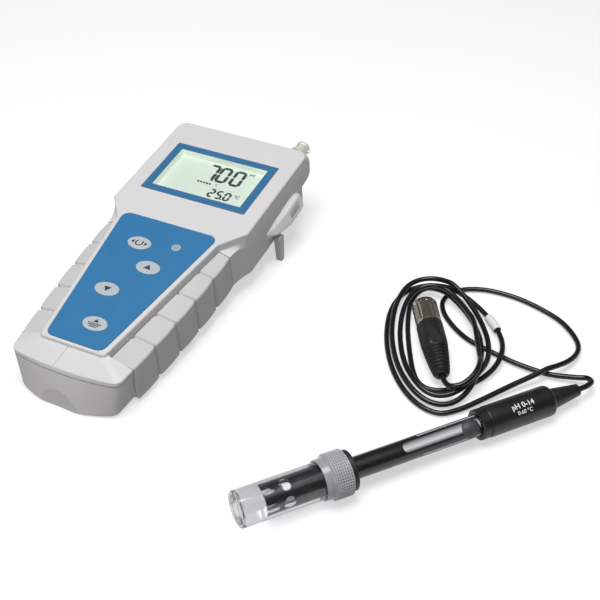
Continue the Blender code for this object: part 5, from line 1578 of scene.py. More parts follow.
@dataclass
class LowerCase:
    """The bottom shell, with the undercut rear, the battery opening and the stand's groove."""

    parting: float = 0.0222
    grip_parting: float = 0.0188
    base_edge: float = 0.002
    undercut: float = 0.0098
    undercut_height: float = 0.0135
    undercut_rise: float = 0.0045
    undercut_swell: float = 0.9
    floor_share: float = 0.6
    rise_share: float = 0.8
    share_fall: float = 0.4
    door_width: float = 0.060
    door_length: float = 0.0527
    door_y: float = 0.083
    door_low: float = 0.0004
    door_thickness: float = 0.002
    door_gap: float = 0.0004
    door_corner: float = 0.001
    door_edge: float = 0.0003
    finger_grooves: tuple[float, ...] = (0.006, 0.0082, 0.0104, 0.0126)
    finger_radius: float = 0.0006
    finger_half: float = 0.009
    groove: float = 0.0024
    screw_places: tuple[Point, ...] = ((0.027, 0.0275), (0.041, 0.197))
    screw_head: float = 0.0032
    screw_depth: float = 0.0015
    scoop_radius: float = 0.017
    scoop_depth: float = 0.0009
    scoop_back: float = -0.004
    scoop_place: Point = (-0.0020, -0.0046, 0.0010)
    scoop_turn: float = radians(-2.0)

    def build(self) -> None:
        """Builds the shell, its ears and the battery door."""
        skin = Skin()
        length, wall, edge = OUTLINE.length, OUTLINE.wall, self.base_edge
        rear, rise = length - self.undercut, self.undercut_height + self.undercut_rise
        parting = (self.parting, self.grip_parting, self.parting)
        rings = [
            OUTLINE.outer((wall,) * 3, rear, wall + edge / 2),
            OUTLINE.outer((wall + edge / 2,) * 3, rear, wall),
            OUTLINE.outer(self.level(self.undercut_height + wall, self.floor_share), rear, wall),
            OUTLINE.outer(self.level(rise + wall / 3, self.rise_share), length, wall),
            OUTLINE.outer(parting, length, wall),
            OUTLINE.swollen(OUTLINE.outer(parting, length), 1.0),
        ]
        for turn in np.linspace(0, QUARTER, 9):
            z, y = rise - self.undercut_rise * sin(turn), rear + self.undercut * cos(turn)
            share = self.rise_share - self.share_fall * turn / QUARTER
            ring = OUTLINE.outer(self.level(z, share), y)
            rings.append(OUTLINE.swollen(ring, self.undercut_swell * cos(turn)))
        for turn in np.linspace(0, QUARTER, 6):
            rings.append(OUTLINE.outer((edge * (1 - sin(turn)),) * 3, rear, edge * (1 - cos(turn))))
        loops = skin.stack(rings)
        opening = rectangle(self.door_width, self.door_length, self.door_y, 0.0, self.door_corner)
        below, above = skin.stack([at_height(opening, 0.0), at_height(opening, wall)])
        skin.fill(loops[-1], below)
        skin.fill(loops[0], above)
        piece("lower_case", carve(skin.mesh, self.tools()), Body.METER, LOWER)
        for side in (-1, 1):
            Ear(side).build()
        self.build_door()

    def level(self, z: float, share: float) -> tuple[float, float, float]:
        """Heights of a ring whose grip zone is a share of the parting height there."""
        return (z, self.grip_parting * share, z)

    def tools(self) -> list[BMesh]:
        """Tools for the stand's groove, the screws' seats and the scoop in the front face.

        Returns:
            The tools' meshes.
        """
        _, hinge_y, hinge_z = LAYOUT.hinge
        half, below = OUTLINE.head_half * 2, -OUTLINE.wall
        high = (half, hinge_y + self.groove, hinge_z + self.groove)
        tools = [block((-half, hinge_y - self.groove, below), high)]
        for x, y in self.screw_places:
            tools += [rod(self.screw_head, (s * x, y, below), (s * x, y, self.screw_depth)) for s in (-1, 1)]
        dome = [(self.scoop_radius * t, self.scoop_depth * (1 - t * t)) for t in np.linspace(1, 0, 12)]
        scoop = lathe([(0.0, self.scoop_back), (self.scoop_radius, self.scoop_back), *dome], 72)
        lean = atan2(OUTLINE.front_lean, OUTLINE.shoulder)
        turn = Matrix.Rotation(self.scoop_turn, 4, "Z") @ Matrix.Rotation(-QUARTER - lean, 4, "X")
        bmesh.ops.transform(scoop, matrix=Matrix.Translation(self.scoop_place) @ turn, verts=scoop.verts)
        return [*tools, scoop]

    def build_door(self) -> None:
        """Builds the battery door with its finger grooves."""
        low, half = self.door_low, self.finger_half
        outline = rectangle(self.door_width, self.door_length, self.door_y, -self.door_gap, self.door_corner)
        door = soften(slab(outline, low, low + self.door_thickness), self.door_edge, 2, 60)
        front = self.door_y - self.door_length / 2
        places = [front + groove for groove in self.finger_grooves]
        grooves = [rod(self.finger_radius, (-half, y, low), (half, y, low), 16) for y in places]
        piece("battery_door", carve(door, grooves), Body.DOOR, LOWER)


@dataclass
class Ear:
    """A lug on the head's side that flares down and out, with a slot for a strap."""

    side: int
    clear: float = 0.0065
    lip: float = 0.001
    edge: float = 0.0014
    under_edge: float = 0.0003
    slot_width: float = 0.0009
    slot_length: float = 0.0130
    slot_out: float = 0.0055
    slot_y: float = 0.1905
    slot_top: float = 0.03
    slot_edge: float = 0.0006
    crown: tuple[float, float] = (0.64, 0.19)
    stations: int = 33
    # Sections: y, reach, height of the top and height of the lip
    sections: tuple[Point, ...] = (
        (0.1590, 0.0008, 0.0146, 0.0136),
        (0.1670, 0.0042, 0.0160, 0.0098),
        (0.1810, 0.0066, 0.0180, 0.0084),
        (0.1955, 0.0066, 0.0192, 0.0084),
        (0.2015, 0.0060, 0.0176, 0.0087),
        (0.2045, 0.0040, 0.0150, 0.0094),
        (0.2057, 0.0010, 0.0128, 0.0112),
    )

    def build(self) -> None:
        """Builds the ear from its sections and cuts the slot."""
        rows = np.array(self.sections)
        inner = OUTLINE.head_half - OUTLINE.wall / 2
        rings = []
        for y in np.linspace(rows[0, 0], rows[-1, 0], self.stations):
            reach, top, lip = (float(np.interp(y, rows[:, 0], rows[:, k])) for k in (1, 2, 3))
            outer = OUTLINE.head_half + reach
            crown = (inner + (outer - inner) * self.crown[0], top + (lip - top) * self.crown[1])
            corners = [(inner, top), crown, (outer, lip), (outer, lip - self.lip), (inner, self.clear)]
            radius = min(self.edge, reach / 2)
            section = round_corners(corners, (0.0, 2 * radius, radius, min(radius, self.under_edge), 0.0), 6)
            rings.append([(self.side * x, float(y), z) for x, z in section])
        x, y = self.side * (OUTLINE.head_half + self.slot_out), self.slot_y
        half_x, half_y = self.slot_width / 2, self.slot_length / 2
        slot = block((x - half_x, y - half_y, 0.0), (x + half_x, y + half_y, self.slot_top))
        mesh = carve(Skin().close(rings), [soften(slot, self.slot_edge, 3, 60)])
        # The ears wear the lighter copy of the case plastic, as painted light
        piece("ear_right" if self.side > 0 else "ear_left", mesh, Body.METER, LIT_EAR)


@dataclass
class SideGrips:
    """The ribbed grips: panels that swell a little, parted by grooves."""

    thickness: float = 0.0018
    panels: int = 5
    groove_width: float = 0.0020
    groove_depth: float = 0.0011
    groove_reach: float = 1.2
    groove_stations: int = 21
    panel_stations: int = 60
    swell: float = 0.0005
    bottom: float = 0.0008
    root_edge: float = 0.0002
    edge: float = 0.0016
    low_edge: float = 0.0007

    @property
    def panel(self) -> float:
        """Length of one panel."""
        return (OUTLINE.grip_end - OUTLINE.grip_start) / self.panels

    def build(self) -> None:
        """Builds both grips."""
        for side, name in ((-1, "side_grip_left"), (1, "side_grip_right")):
            mesh = Skin().close([self.section(float(y), side) for y in self.stations()])
            piece(name, mesh, Body.METER, GRIP)

    def stations(self) -> np.ndarray:
        """Places of the sections, closer together in the grooves.

        Returns:
            The places in order.
        """
        front, rear, reach = OUTLINE.grip_start + 2 * GAP, OUTLINE.grip_end - GAP, self.groove_reach
        places = set(np.linspace(front, rear, self.panel_stations))
        for k in range(1, self.panels):
            middle = OUTLINE.grip_start + k * self.panel
            places |= set(middle + np.linspace(-reach, reach, self.groove_stations) * self.groove_width)
        return np.array(sorted(places))

    def section(self, y: float, side: int) -> Ring:
        """One section across a grip, as a shoulder leaf and a side leaf.

        Args:
            y: Where it is.
            side: Which grip it is on.

        Returns:
            Its outline.
        """
        along = (y - OUTLINE.grip_start) / self.panel
        away = abs(along - min(max(round(along), 1), self.panels - 1)) * self.panel
        depth = self.groove_depth * float(np.clip(1.5 - 2 * away / self.groove_width, 0, 1))
        half, foot, shoulder = OUTLINE.grip_half(y), OUTLINE.foot, OUTLINE.shoulder
        outer = half + self.swell * sin(pi * (along % 1.0)) - depth
        wall, root = half - self.thickness, OUTLINE.plateau_half(y) + GAP
        corners = [
            (root, foot - depth), (outer, shoulder - depth), (outer, self.bottom),
            (wall, self.bottom), (wall, shoulder - self.thickness), (root, foot - self.thickness),
        ]
        radii = (self.root_edge, self.edge, self.low_edge, 0.0, 0.0, 0.0)
        return [(side * x, y, z) for x, z in round_corners(corners, radii, 5)]


@dataclass
class Socket:
    """The coaxial socket in the rear wall."""

    place: Point = (0.0372, 0.2278, 0.0245)
    radius: float = 0.0048
    bore: float = 0.0041
    reach: float = 0.0112
    lip: float = 0.0004
    neck: tuple[float, ...] = (0.0016, 0.0019, 0.0025, 0.0028)
    flange_radius: float = 0.0062
    flange: float = 0.0023
    thread_radius: float = 0.0040
    thread: float = 0.009
    throat: float = 0.0025
    edge: float = 0.00015
    lug_radius: float = 0.0009
    lug_reach: float = 0.0059
    lug_place: float = 0.0078
    lug_edge: float = 0.0002

    def build(self) -> None:
        """Builds the shell with its lugs and dresses what it holds."""
        radius, high, flange = self.radius, self.reach, self.flange
        profile = [(self.bore, high), (radius, high)]
        for back, lip in zip(self.neck, (0.0, self.lip, self.lip, 0.0)):
            profile.append((radius - lip, high - back))
        rim, thread, throat, end = self.flange_radius, self.thread_radius, self.throat, -self.thread
        profile += [(radius, flange), (rim, flange), (rim, GAP), (thread, GAP), (thread, end)]
        profile += [(throat, end), (throat, flange), (self.bore, flange)]
        parts = [soften(lathe(profile), self.edge)]
        for side in (-1, 1):
            start = (side * (self.bore + radius) / 2, 0, self.lug_place)
            lug = rod(self.lug_radius, start, (side * self.lug_reach, 0, self.lug_place), 24)
            parts.append(soften(lug, self.lug_edge))
        axis = LAYOUT.meter @ Matrix.Translation(self.place) @ Matrix.Rotation(-QUARTER, 4, "X")
        piece("bnc_socket", merge(parts), Body.METER, SOCKET_METAL, axis)
        dress(WHITE, "bnc_insulator")
        dress(GOLD, "bnc_contact")
        dress(STEEL, "bnc_locknut")


@dataclass
class Stand:
    """The fold-out bail under the head, and the front foot."""

    bar_radius: float = 0.002
    leg: float = 0.004
    leg_edge: float = 0.0007
    top_radius: float = 0.0032
    foot_width: float = 0.0036
    clearance: float = 0.0007
    strip_width: float = 0.048
    strip_length: float = 0.008
    strip_edge: float = 0.0003

    def table(self, y: float) -> float:
        """Height of the table in the meter's frame."""
        return -LAYOUT.foot_proud - (y - LAYOUT.foot_y) * tan(LAYOUT.tilt)

    def build(self) -> None:
        """Builds the bail and the foot."""
        inner = OUTLINE.head_half + self.clearance
        outer, half = inner + self.leg, self.foot_width / 2
        end = (inner + outer) / 2
        _, y, z = LAYOUT.hinge
        section = arc((0.0, 0.0), self.top_radius, 0, 180, 20)
        section += [(-half, self.table(y - half) - z), (half, self.table(y + half) - z)]
        parts = [rod(self.bar_radius, (-end, 0, 0), (end, 0, 0))]
        for side in (-1, 1):
            leg = Skin().close([[(side * x, *point) for point in section] for x in (inner, outer)])
            parts.append(soften(leg, self.leg_edge, 3, 50))
        axis = LAYOUT.meter @ Matrix.Translation(LAYOUT.hinge)
        piece("tilt_stand", merge(parts), Body.STAND, LEG, axis)
        self.build_foot()

    def build_foot(self) -> None:
        """Builds the rubber strip under the front edge."""
        front, rear = (LAYOUT.foot_y + end * self.strip_length / 2 for end in (-1, 1))
        section = [(front, -GAP), (front, self.table(front)), (rear, self.table(rear)), (rear, -GAP)]
        ends = (-self.strip_width / 2, self.strip_width / 2)
        strip = Skin().close([[(x, *point) for point in section] for x in ends])
        piece("front_foot", soften(strip, self.strip_edge, 2, 50), Body.METER, RUBBER)


# Electrode


@dataclass
class StorageBottle:
    """The clear bottle on the electrode's tip, with its knurled collar and seal."""

    radius: float = 0.0099
    wall: float = 0.0012
    floor: float = 0.0016
    floor_edge: float = 0.0006
    length: float = 0.0589
    end_edge: tuple[Point, ...] = ((0.0, 0.0008), (0.0003, 0.0003), (0.0008, 0.0))
    end_ring: tuple[Point, ...] = ((0.0058, 0.0), (0.0054, 0.0005), (0.0036, 0.0005), (0.0032, 0.0))
    collar_start: float = 0.046
    collar_cone: float = 0.0045
    collar_end: float = 0.0615
    collar_face: float = 0.002
    collar_edge: float = 0.0002
    run_gap: float = 0.0004
    knurls: int = 50
    rings: int = 8
    ring_steps: int = 108
    ridge_width: float = 0.00034
    ridge_height: float = 0.0004
    seal_radius: float = 0.011
    seal_end: float = 0.0642
    seal_neck: float = 0.0022
    seal_edge: float = 0.0005

    def build(self) -> None:
        """Builds the bottle, what it holds, the collar and the seal."""
        self.build_bottle()
        self.build_liquid()
        self.build_collar()
        self.build_seal()

    def build_bottle(self) -> None:
        """Builds the bottle with a ring moulded in its closed end."""
        inner, floor, edge = self.radius - self.wall, self.floor, self.floor_edge
        profile = [(0.0, floor), (inner - edge, floor), (inner, floor + edge), (inner, self.length)]
        profile.append((self.radius, self.length))
        profile += [(self.radius - draw, z) for draw, z in self.end_edge]
        piece("storage_bottle", lathe([*profile, *self.end_ring, (0.0, 0.0)], 96), Body.BOTTLE, BOTTLE)

    def build_liquid(self) -> None:
        """Builds the storage solution, which wets the bottle's wall and the tube."""
        outer, low, high = self.radius - self.wall + SEAT, self.floor - SEAT, self.length - self.collar_face
        tip, bore = LAYOUT.tube_start - SEAT, LAYOUT.tube_radius - SEAT
        profile = [(0.0, low), (outer, low), (outer, high), (bore, high), (bore, tip), (0.0, tip)]
        piece("storage_solution", lathe(profile, 96), Body.BOTTLE, LIQUID)

    def build_collar(self) -> None:
        """Builds the collar with its cone, and the net round its wide part."""
        bore, start = self.radius + self.run_gap, self.collar_start
        hole = LAYOUT.tube_radius + self.seal_neck + 2 * self.run_gap
        low, high = start + self.collar_cone, self.collar_end
        skirt, edge = LAYOUT.collar_radius - self.ridge_height, 2 * self.ridge_height
        face = high - self.collar_face
        profile = [
            (bore + self.wall / 2, start), (skirt - edge, low - edge / 2), (skirt, low + edge / 2),
            (skirt, high - edge), (skirt - edge, high),
            (hole, high), (hole, face), (bore, face), (bore, start),
        ]
        piece("bottle_collar", soften(lathe(profile, 96), self.collar_edge, 2, 20), Body.COLLAR, COLLAR)
        self.build_ridges(skirt, low + edge, high - edge)

    def build_ridges(self, skirt: float, low: float, high: float) -> None:
        """Builds the raised net of bars and rings round the collar.

        Args:
            skirt: The collar's radius under the net.
            low: Where the net begins along the axis.
            high: Where it ends.
        """
        half, root, crest = self.ridge_width / 2, skirt - SEAT, LAYOUT.collar_radius
        parts = []
        for angle in around(self.knurls):
            bar = block((root, -half, low), (crest, half, high))
            bmesh.ops.rotate(bar, cent=(0, 0, 0), matrix=Matrix.Rotation(angle, 3, "Z"), verts=bar.verts)
            parts.append(bar)
        crest -= SEAT
        for z in np.linspace(low + half, high - half, self.rings):
            profile = [(root, z - half), (crest, z - half), (crest, z + half), (root, z + half)]
            parts.append(lathe(profile, self.ring_steps))
        piece("collar_ridges", merge(parts), Body.COLLAR, RIDGE)

    def build_seal(self) -> None:
        """Builds the black seal between the collar and the tube."""
        inside, rim, end = LAYOUT.tube_radius + self.run_gap, self.seal_radius, self.seal_end
        neck, low, start = inside + self.seal_neck, self.collar_end - self.collar_face, self.collar_end + GAP
        profile = [(inside, end), (rim, end), (rim, start), (neck, start), (neck, low), (inside, low)]
        piece("bottle_seal", soften(lathe(profile), self.seal_edge, 3), Body.BOTTLE, RUBBER)


@dataclass
class Electrode:
    """The electrode's tube, cap, filler and cable relief."""

    tube_wall: float = 0.001
    tube_end: float = 0.1544
    tube_edge: float = 0.0003
    slot_width: float = 0.0044
    slot_depth: float = 0.0070
    hole_z: float = 0.0267
    hole_radius: float = 0.0032
    window_start: float = 0.0935
    window_end: float = 0.1405
    # Where the painted highlight lines along the window begin, their half width, and their angles round the
    # tube
    rim_highlight_start: float = 0.104
    rim_highlight_angle: float = radians(7.0)
    rim_highlights: tuple[float, float] = (radians(-22.0), radians(96.0))
    least_width: float = 0.0004
    patch_steps: tuple[int, int] = (60, 24)
    label: tuple[tuple[str, float, float], ...] = (("pH 0-14", 0.0030, 0.0016), ("0-60 °C", 0.0021, -0.0022))
    label_roll: float = radians(34.0)
    label_cut: float = 0.0005
    label_cuts: int = 8
    label_lift: float = 0.00001
    cap_start: float = 0.1409
    cap_end: float = 0.1889
    cap_round: float = 0.0025
    cap_foot: tuple[Point, ...] = ((0.0, 0.0014), (0.0003, 0.0005))
    neck: float = 0.0051
    neck_radius: float = 0.0086
    neck_groove: tuple[Point, ...] = ((0.0006, 0.0002), (0.0006, -0.0002), (0.0, -0.0006))
    neck_edge: float = 0.0005
    stem_radius: float = 0.0033
    stem_top: float = 0.1637
    relief_radius: float = 0.0057
    relief_tip: float = 0.0034
    relief_edge: float = 0.0005
    port_z: float = 0.1344
    port_roll: float = radians(45.0)
    plug_radius: float = 0.0054
    plug_wrap: float = radians(54.0)
    plug_height: float = 0.0017
    plug_crown: float = 0.12
    plug_fall: float = 0.7
    plug_clear: float = 0.1 * GAP
    plug_steps: int = 48
    plug_shank: float = 0.0021
    plug_depth: float = 1.5 * tube_wall

    def build(self) -> None:
        """Builds the pieces and dresses what the tube holds."""
        self.build_tube()
        self.build_window()
        self.build_filler()
        self.build_cap()
        self.build_label()
        self.build_relief()
        dress(GLASS, "glass_electrode")
        dress(WHITE, "junction_ring")

    def build_tube(self) -> None:
        """Builds the tube with the guard's four slots and four holes round its tip."""
        radius, start, end = LAYOUT.tube_radius, LAYOUT.tube_start, self.tube_end
        inner, half, reach = radius - self.tube_wall, self.slot_width / 2, 2 * radius
        profile = [(inner, end), (radius, end), (radius, start), (inner, start)]
        tube = soften(lathe(profile, 80), self.tube_edge)
        top = start + self.slot_depth - half
        tools = [block((-x, -y, 0.0), (x, y, top)) for x, y in ((half, reach), (reach, half))]
        for wide, z in ((half, top), (self.hole_radius, self.hole_z)):
            tools += [rod(wide, (-x, -y, z), (x, y, z)) for x, y in ((reach, 0.0), (0.0, reach))]
        for tool in tools:
            tube = carve(tube, [tool])
        piece("electrode_tube", tube, Body.ELECTRODE, TUBE)

    def patch(self, start: float, middle: float, spread: float) -> BMesh:
        """A skin on the tube with a round end towards the tip.

        Args:
            start: Where it begins along the axis.
            middle: The angle of its middle line.
            spread: The angle it covers on each side.

        Returns:
            The skin's mesh.
        """
        mesh = bmesh.new()
        along, across = self.patch_steps
        bmesh.ops.create_grid(mesh, x_segments=along, y_segments=across, size=0.5)
        radius = LAYOUT.tube_radius + SEAT
        for vert in mesh.verts:
            along = (vert.co.x + 0.5) * (self.window_end - start)
            short = max(0.0, 1 - along / (radius * spread))
            angle = middle + 2 * vert.co.y * spread * sqrt(max(1 - short * short, self.least_width))
            vert.co = (radius * cos(angle), radius * sin(angle), start + along)
        return mesh

    def build_window(self) -> None:
        """Builds the window in the tube, with its painted highlight, and the painted highlight lines along
        its sides.
        """
        window = self.patch(self.window_start, LAYOUT.window_middle, LAYOUT.window_angle)
        piece("tube_window_highlight", window, Body.ELECTRODE, WINDOW_HIGHLIGHT)
        rim_highlights = [self.patch(self.rim_highlight_start, middle, self.rim_highlight_angle) for middle in self.rim_highlights]
        piece("window_rim_highlights", merge(rim_highlights), Body.ELECTRODE, RIM_HIGHLIGHT)

    def build_filler(self) -> None:
        """Builds the rubber plug of the filling hole, a low dome that hugs the tube."""
        shares = np.linspace(self.plug_crown, 1, 10)
        rows = [(share, GAP + self.plug_height * (1 - share * share) ** self.plug_fall) for share in shares]
        rows += [(share, self.plug_clear) for share in shares[::-1]]
        rings = []
        for share, lift in rows:
            radius, ring = LAYOUT.tube_radius + lift, []
            for turn in around(self.plug_steps):
                angle = self.plug_wrap * share * sin(turn)
                along = self.plug_radius * share * cos(turn)
                ring.append((along, radius * sin(angle), radius * cos(angle)))
            rings.append(ring)
        low = LAYOUT.tube_radius - self.plug_depth
        shank = rod(self.plug_shank, (0, 0, low), (0, 0, LAYOUT.tube_radius))
        roll = Matrix.Rotation(self.port_roll, 4, "Z") @ Matrix.Rotation(QUARTER, 4, "Y")
        port = LAYOUT.electrode @ Matrix.Translation((0, 0, self.port_z)) @ roll
        piece("fill_plug", merge([Skin().close(rings), shank]), Body.FILLER, PALE_RUBBER, port)

    def build_label(self) -> None:
        """Prints the range on the cap."""
        rows = []
        for text, height, up in self.label:
            flat = moved(lettering(text, height, PRINT), (0.0, up, 0.0))
            for k in range(-self.label_cuts, self.label_cuts + 1):
                geometry, cut = [*flat.verts, *flat.edges, *flat.faces], (0, self.label_cut * k, 0)
                bmesh.ops.bisect_plane(flat, geom=geometry, plane_co=cut, plane_no=(0, 1, 0))
            rows.append(flat)
        label, radius = merge(rows), LAYOUT.cap_radius
        middle = (self.cap_start + self.neck + self.cap_end) / 2
        for vert in label.verts:
            angle, reach = self.label_roll - vert.co.y / radius, radius + vert.co.z + self.label_lift
            vert.co = (reach * cos(angle), reach * sin(angle), middle + vert.co.x)
        piece("cap_label", label, Body.ELECTRODE, WHITE)

    def build_cap(self) -> None:
        """Builds the cap with its neck and round shoulders."""
        wide, neck = LAYOUT.cap_radius, self.neck_radius
        bore, stem = LAYOUT.tube_radius + GAP, self.stem_radius
        start, end, edge, floor = self.cap_start, self.cap_end, self.neck_edge, self.tube_end + GAP
        profile = [(0.0, end)]
        for turn in np.linspace(0, QUARTER, 9):
            draw, drop = self.cap_round * (1 - sin(turn)), self.cap_round * (1 - cos(turn))
            profile.append((wide - draw, end - drop))
        profile += [(wide - draw, start + self.neck + z) for draw, z in self.cap_foot]
        profile += [(neck - draw, start + self.neck + z) for draw, z in self.neck_groove]
        profile += [(neck, start + edge), (neck - edge, start), (bore, start), (bore, floor), (stem, floor)]
        profile += [(stem, self.stem_top), (0.0, self.stem_top)]
        piece("electrode_cap", lathe(profile, 96), Body.ELECTRODE, BLACK)

    def build_relief(self) -> None:
        """Builds the tapered relief that the cable leaves by."""
        low, high, wide = self.cap_end + GAP, LAYOUT.relief_end, self.relief_radius
        profile = [(0.0, high), (self.relief_tip, high), (wide, low + self.cap_round)]
        profile += [(wide, low), (0.0, low)]
        piece("strain_relief", soften(lathe(profile, 64), self.relief_edge, 3, 8), Body.ELECTRODE, RUBBER)


# Cable and plug


@dataclass
class Cable:
    """The electrode's cable, its sleeve and its plug."""

    radius: float = 0.0016
    length: float = 1.337
    clearance: float = 0.001
    crossing: float = 4.0
    ease: float = 0.030
    passes: int = 260
    round_steps: int = 5
    span_steps: int = 6
    centre_u: float = -0.004
    left: tuple[float, ...] = (0.028, 0.015, 0.025, 0.020)
    right: tuple[float, ...] = (0.040, 0.027, 0.0315, 0.0255)
    near: tuple[float, ...] = (0.0566, 0.0385, 0.0505, 0.0460)
    far: tuple[float, ...] = (0.054, 0.050, 0.0565, 0.048)
    last_phase: float = 3.74
    side_phase: float = 0.25
    per_turn: int = 24
    # The lead and the tail in the coil's directions, right and away
    lead: tuple[Point, ...] = (
        (0.0780, -0.0410), (0.0815, -0.0365), (0.0800, -0.0320), (0.0735, -0.0300), (0.0592, -0.0262),
        (0.0445, -0.0178), (0.0357, -0.0112), (0.0280, -0.0050), (0.0177, 0.0040), (0.0108, 0.0140),
        (0.0062, 0.0247), (0.0045, 0.0330), (0.0055, 0.0410), (0.0110, 0.0485), (0.0210, 0.0525),
        (0.0350, 0.0515), (0.0510, 0.0445), (0.0650, 0.0334), (0.0758, 0.0205), (0.0812, 0.0050),
        (0.0800, -0.0070), (0.0715, -0.0180), (0.0555, -0.0275), (0.0365, -0.0370), (0.0165, -0.0482),
        (0.0060, -0.0535),
    )
    tail: tuple[Point, ...] = (
        (0.0200, -0.0160), (0.0190, -0.0260), (0.0160, -0.0350), (0.0110, -0.0410), (0.0050, -0.0440),
        (-0.0003, -0.0426),
    )
    sleeve_phase: float = 0.696
    sleeve_length: float = 0.013
    sleeve_radius: float = 0.0027
    sleeve_bore: float = 0.00215
    sleeve_edge: float = 0.0006
    sleeve_steps: int = 40

    def build(self) -> None:
        """Builds the cable, the sleeve and the plug, and logs how many points the cable has."""
        route, middle = self.route()
        curve = bpy.data.curves.new("cable", "CURVE")
        curve.dimensions = "3D"
        curve.bevel_depth = self.radius
        curve.bevel_resolution = self.round_steps
        curve.use_fill_caps = True
        spline = curve.splines.new("POLY")
        spline.points.add(len(route) - 1)
        for point, place in zip(spline.points, route):
            point.co = (*place, 1.0)
        spline.use_smooth = True
        curve.materials.append(CABLE_SKIN.material())
        owner = linked("cable", curve)
        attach(owner, Body.ELECTRODE.value)
        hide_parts("cable_lead", "cable_coil")
        sleeve = self.build_sleeve(route, middle)
        plug = Plug().build()
        LOG.info("cable: %d points", len(route))

    def reach(self, phase: float, first: Sequence[float], second: Sequence[float], shift: float) -> float:
        """Blends the reaches of successive half turns, which alternate between two lists.

        Args:
            phase: Turns from the coil's start.
            first: Reaches of the even half turns.
            second: Reaches of the odd ones.
            shift: The phase of the first reach.

        Returns:
            The reach.
        """
        steps = [value for pair in zip(first, second) for value in pair]
        place = min(max((phase - shift) * 2, 0.0), len(steps) - 1.001)
        k = int(place)
        share = (1 - cos(pi * (place - k))) / 2
        return steps[k] + (steps[k + 1] - steps[k]) * share

    def coil_point(self, phase: float) -> Point:
        """A point of the coil: near side at whole turns, then left, far side and right.

        Args:
            phase: Turns from the coil's start.

        Returns:
            Its place on the table.
        """
        angle = -QUARTER - TURN * phase
        across = self.reach(phase, self.left, self.right, self.side_phase) * cos(angle)
        away = self.reach(phase, self.near, self.far, 0.0) * sin(angle)
        return LAYOUT.from_coil(self.centre_u + across, away)

    def distances(self, plan: np.ndarray) -> np.ndarray:
        """The distance along a route at each of its points."""
        return np.concatenate([[0], np.cumsum(np.linalg.norm(np.diff(plan, axis=0), axis=1))])

    def smooth(self, points: np.ndarray) -> np.ndarray:
        """Samples a smooth curve through points, a few steps to each span.

        Args:
            points: The points.

        Returns:
            The samples.
        """
        ends = np.vstack([2 * points[0] - points[1], points, 2 * points[-1] - points[-2]])
        t = np.linspace(0, 1, self.span_steps, endpoint=False)[:, None]
        spans = []
        for a, b, c, d in zip(ends, ends[1:], ends[2:], ends[3:]):
            bend = (2 * a - 5 * b + 4 * c - d) * t**2 + (3 * b - a - 3 * c + d) * t**3
            spans.append(b + ((c - a) * t + bend) / 2)
        return np.vstack([*spans, points[-1:]])

    def heights(self, plan: np.ndarray, along: np.ndarray, floor: np.ndarray) -> np.ndarray:
        """Lays the cable down in order, each stretch over the earlier ones in a long low hump.

        Args:
            plan: The route from above.
            along: The distance along it.
            floor: The least height at each point.

        Returns:
            The height at each point.
        """
        width = 2 * self.radius + self.clearance
        apart = np.linalg.norm(plan[:, None] - plan[None], axis=2)
        later = along[:, None] - along[None] > self.crossing * width
        above, below = np.nonzero((apart < width) & later)
        rise = np.sqrt(width**2 - apart[above, below] ** 2)
        height = floor.copy()
        for _ in range(self.passes):
            height[1:-1] = (height[:-2] + 2 * height[1:-1] + height[2:]) / 4
            height = np.maximum(height, floor)
            np.maximum.at(height, above, height[below] + rise)
        return height

    def route(self) -> tuple[np.ndarray, float]:
        """The cable's centreline from the relief to the plug.

        Returns:
            Its points, and the distance along it of the sleeve's middle.
        """
        start = LAYOUT.electrode @ Vector((0, 0, LAYOUT.relief_end + GAP))
        out = (LAYOUT.electrode.to_3x3() @ Vector((0, 0, 1))).normalized()
        end = LAYOUT.plug @ Vector((0, 0, -GAP))
        back = (LAYOUT.plug.to_3x3() @ Vector((0, 0, -1))).normalized()
        straight = 2 * self.radius
        controls = [start.xy, (start + out * straight).xy]
        controls += [LAYOUT.from_coil(u, v) for u, v in self.lead]
        first = len(controls)
        turns = int(self.last_phase * self.per_turn) + 1
        controls += [self.coil_point(k / self.per_turn) for k in range(turns)]
        controls += [LAYOUT.from_coil(u, v) for u, v in self.tail]
        controls += [(end + back * straight).xy, end.xy]
        plan = self.smooth(np.array([tuple(point) for point in controls]))
        along = self.distances(plan)
        floor = np.full(len(plan), self.radius)
        for height, distance in ((start.z, along), (end.z, along[-1] - along)):
            share = np.clip((distance - straight) / self.ease, 0, 1)
            fall = 1 - share * share * (3 - 2 * share)
            floor = np.maximum(floor, self.radius + (height - self.radius) * fall)
        middle = along[int((first + self.sleeve_phase * self.per_turn) * self.span_steps)]
        near = np.clip(1 - (abs(along - middle) - self.sleeve_length / 2) / self.ease, 0, 1)
        floor = np.maximum(floor, self.radius + (self.sleeve_radius - self.radius + GAP) * near)
        route = np.column_stack([plan, self.heights(plan, along, floor)])
        return route, float(middle)

    def build_sleeve(self, route: np.ndarray, middle: float) -> Object:
        """Builds the white sleeve as a short tube that follows the cable.

        Args:
            route: The cable's centreline.
            middle: The distance along it of the sleeve's middle.

        Returns:
            The sleeve.
        """
        along = self.distances(route[:, :2])
        half, soft = self.sleeve_length / 2, self.sleeve_edge
        ends = (half, half - soft / 3, half - soft)
        plain = np.linspace(2 * soft - half, half - 2 * soft, 9)
        offsets = np.array([*(-end for end in ends), *plain, *reversed(ends)])
        centres = np.stack([np.interp(middle + offsets, along, row) for row in route.T], axis=1)
        rings, bores = [], []
        for offset, centre, way in zip(offsets, centres, np.gradient(centres, axis=0)):
            turn = Matrix.Translation(centre) @ Vector(way).to_track_quat("Z", "Y").to_matrix().to_4x4()
            edge = max(0.0, soft - (half - abs(offset)))
            radius = self.sleeve_radius - edge * edge / (2 * soft)
            rings.append([turn @ Vector(point) for point in circle(radius, 0.0, self.sleeve_steps)])
            bores.append([turn @ Vector(point) for point in circle(self.sleeve_bore, 0.0, self.sleeve_steps)])
        mesh = Skin().close(rings + bores[::-1], True)
        return piece("cable_marker", mesh, Body.ELECTRODE, WHITE, Matrix.Identity(4))


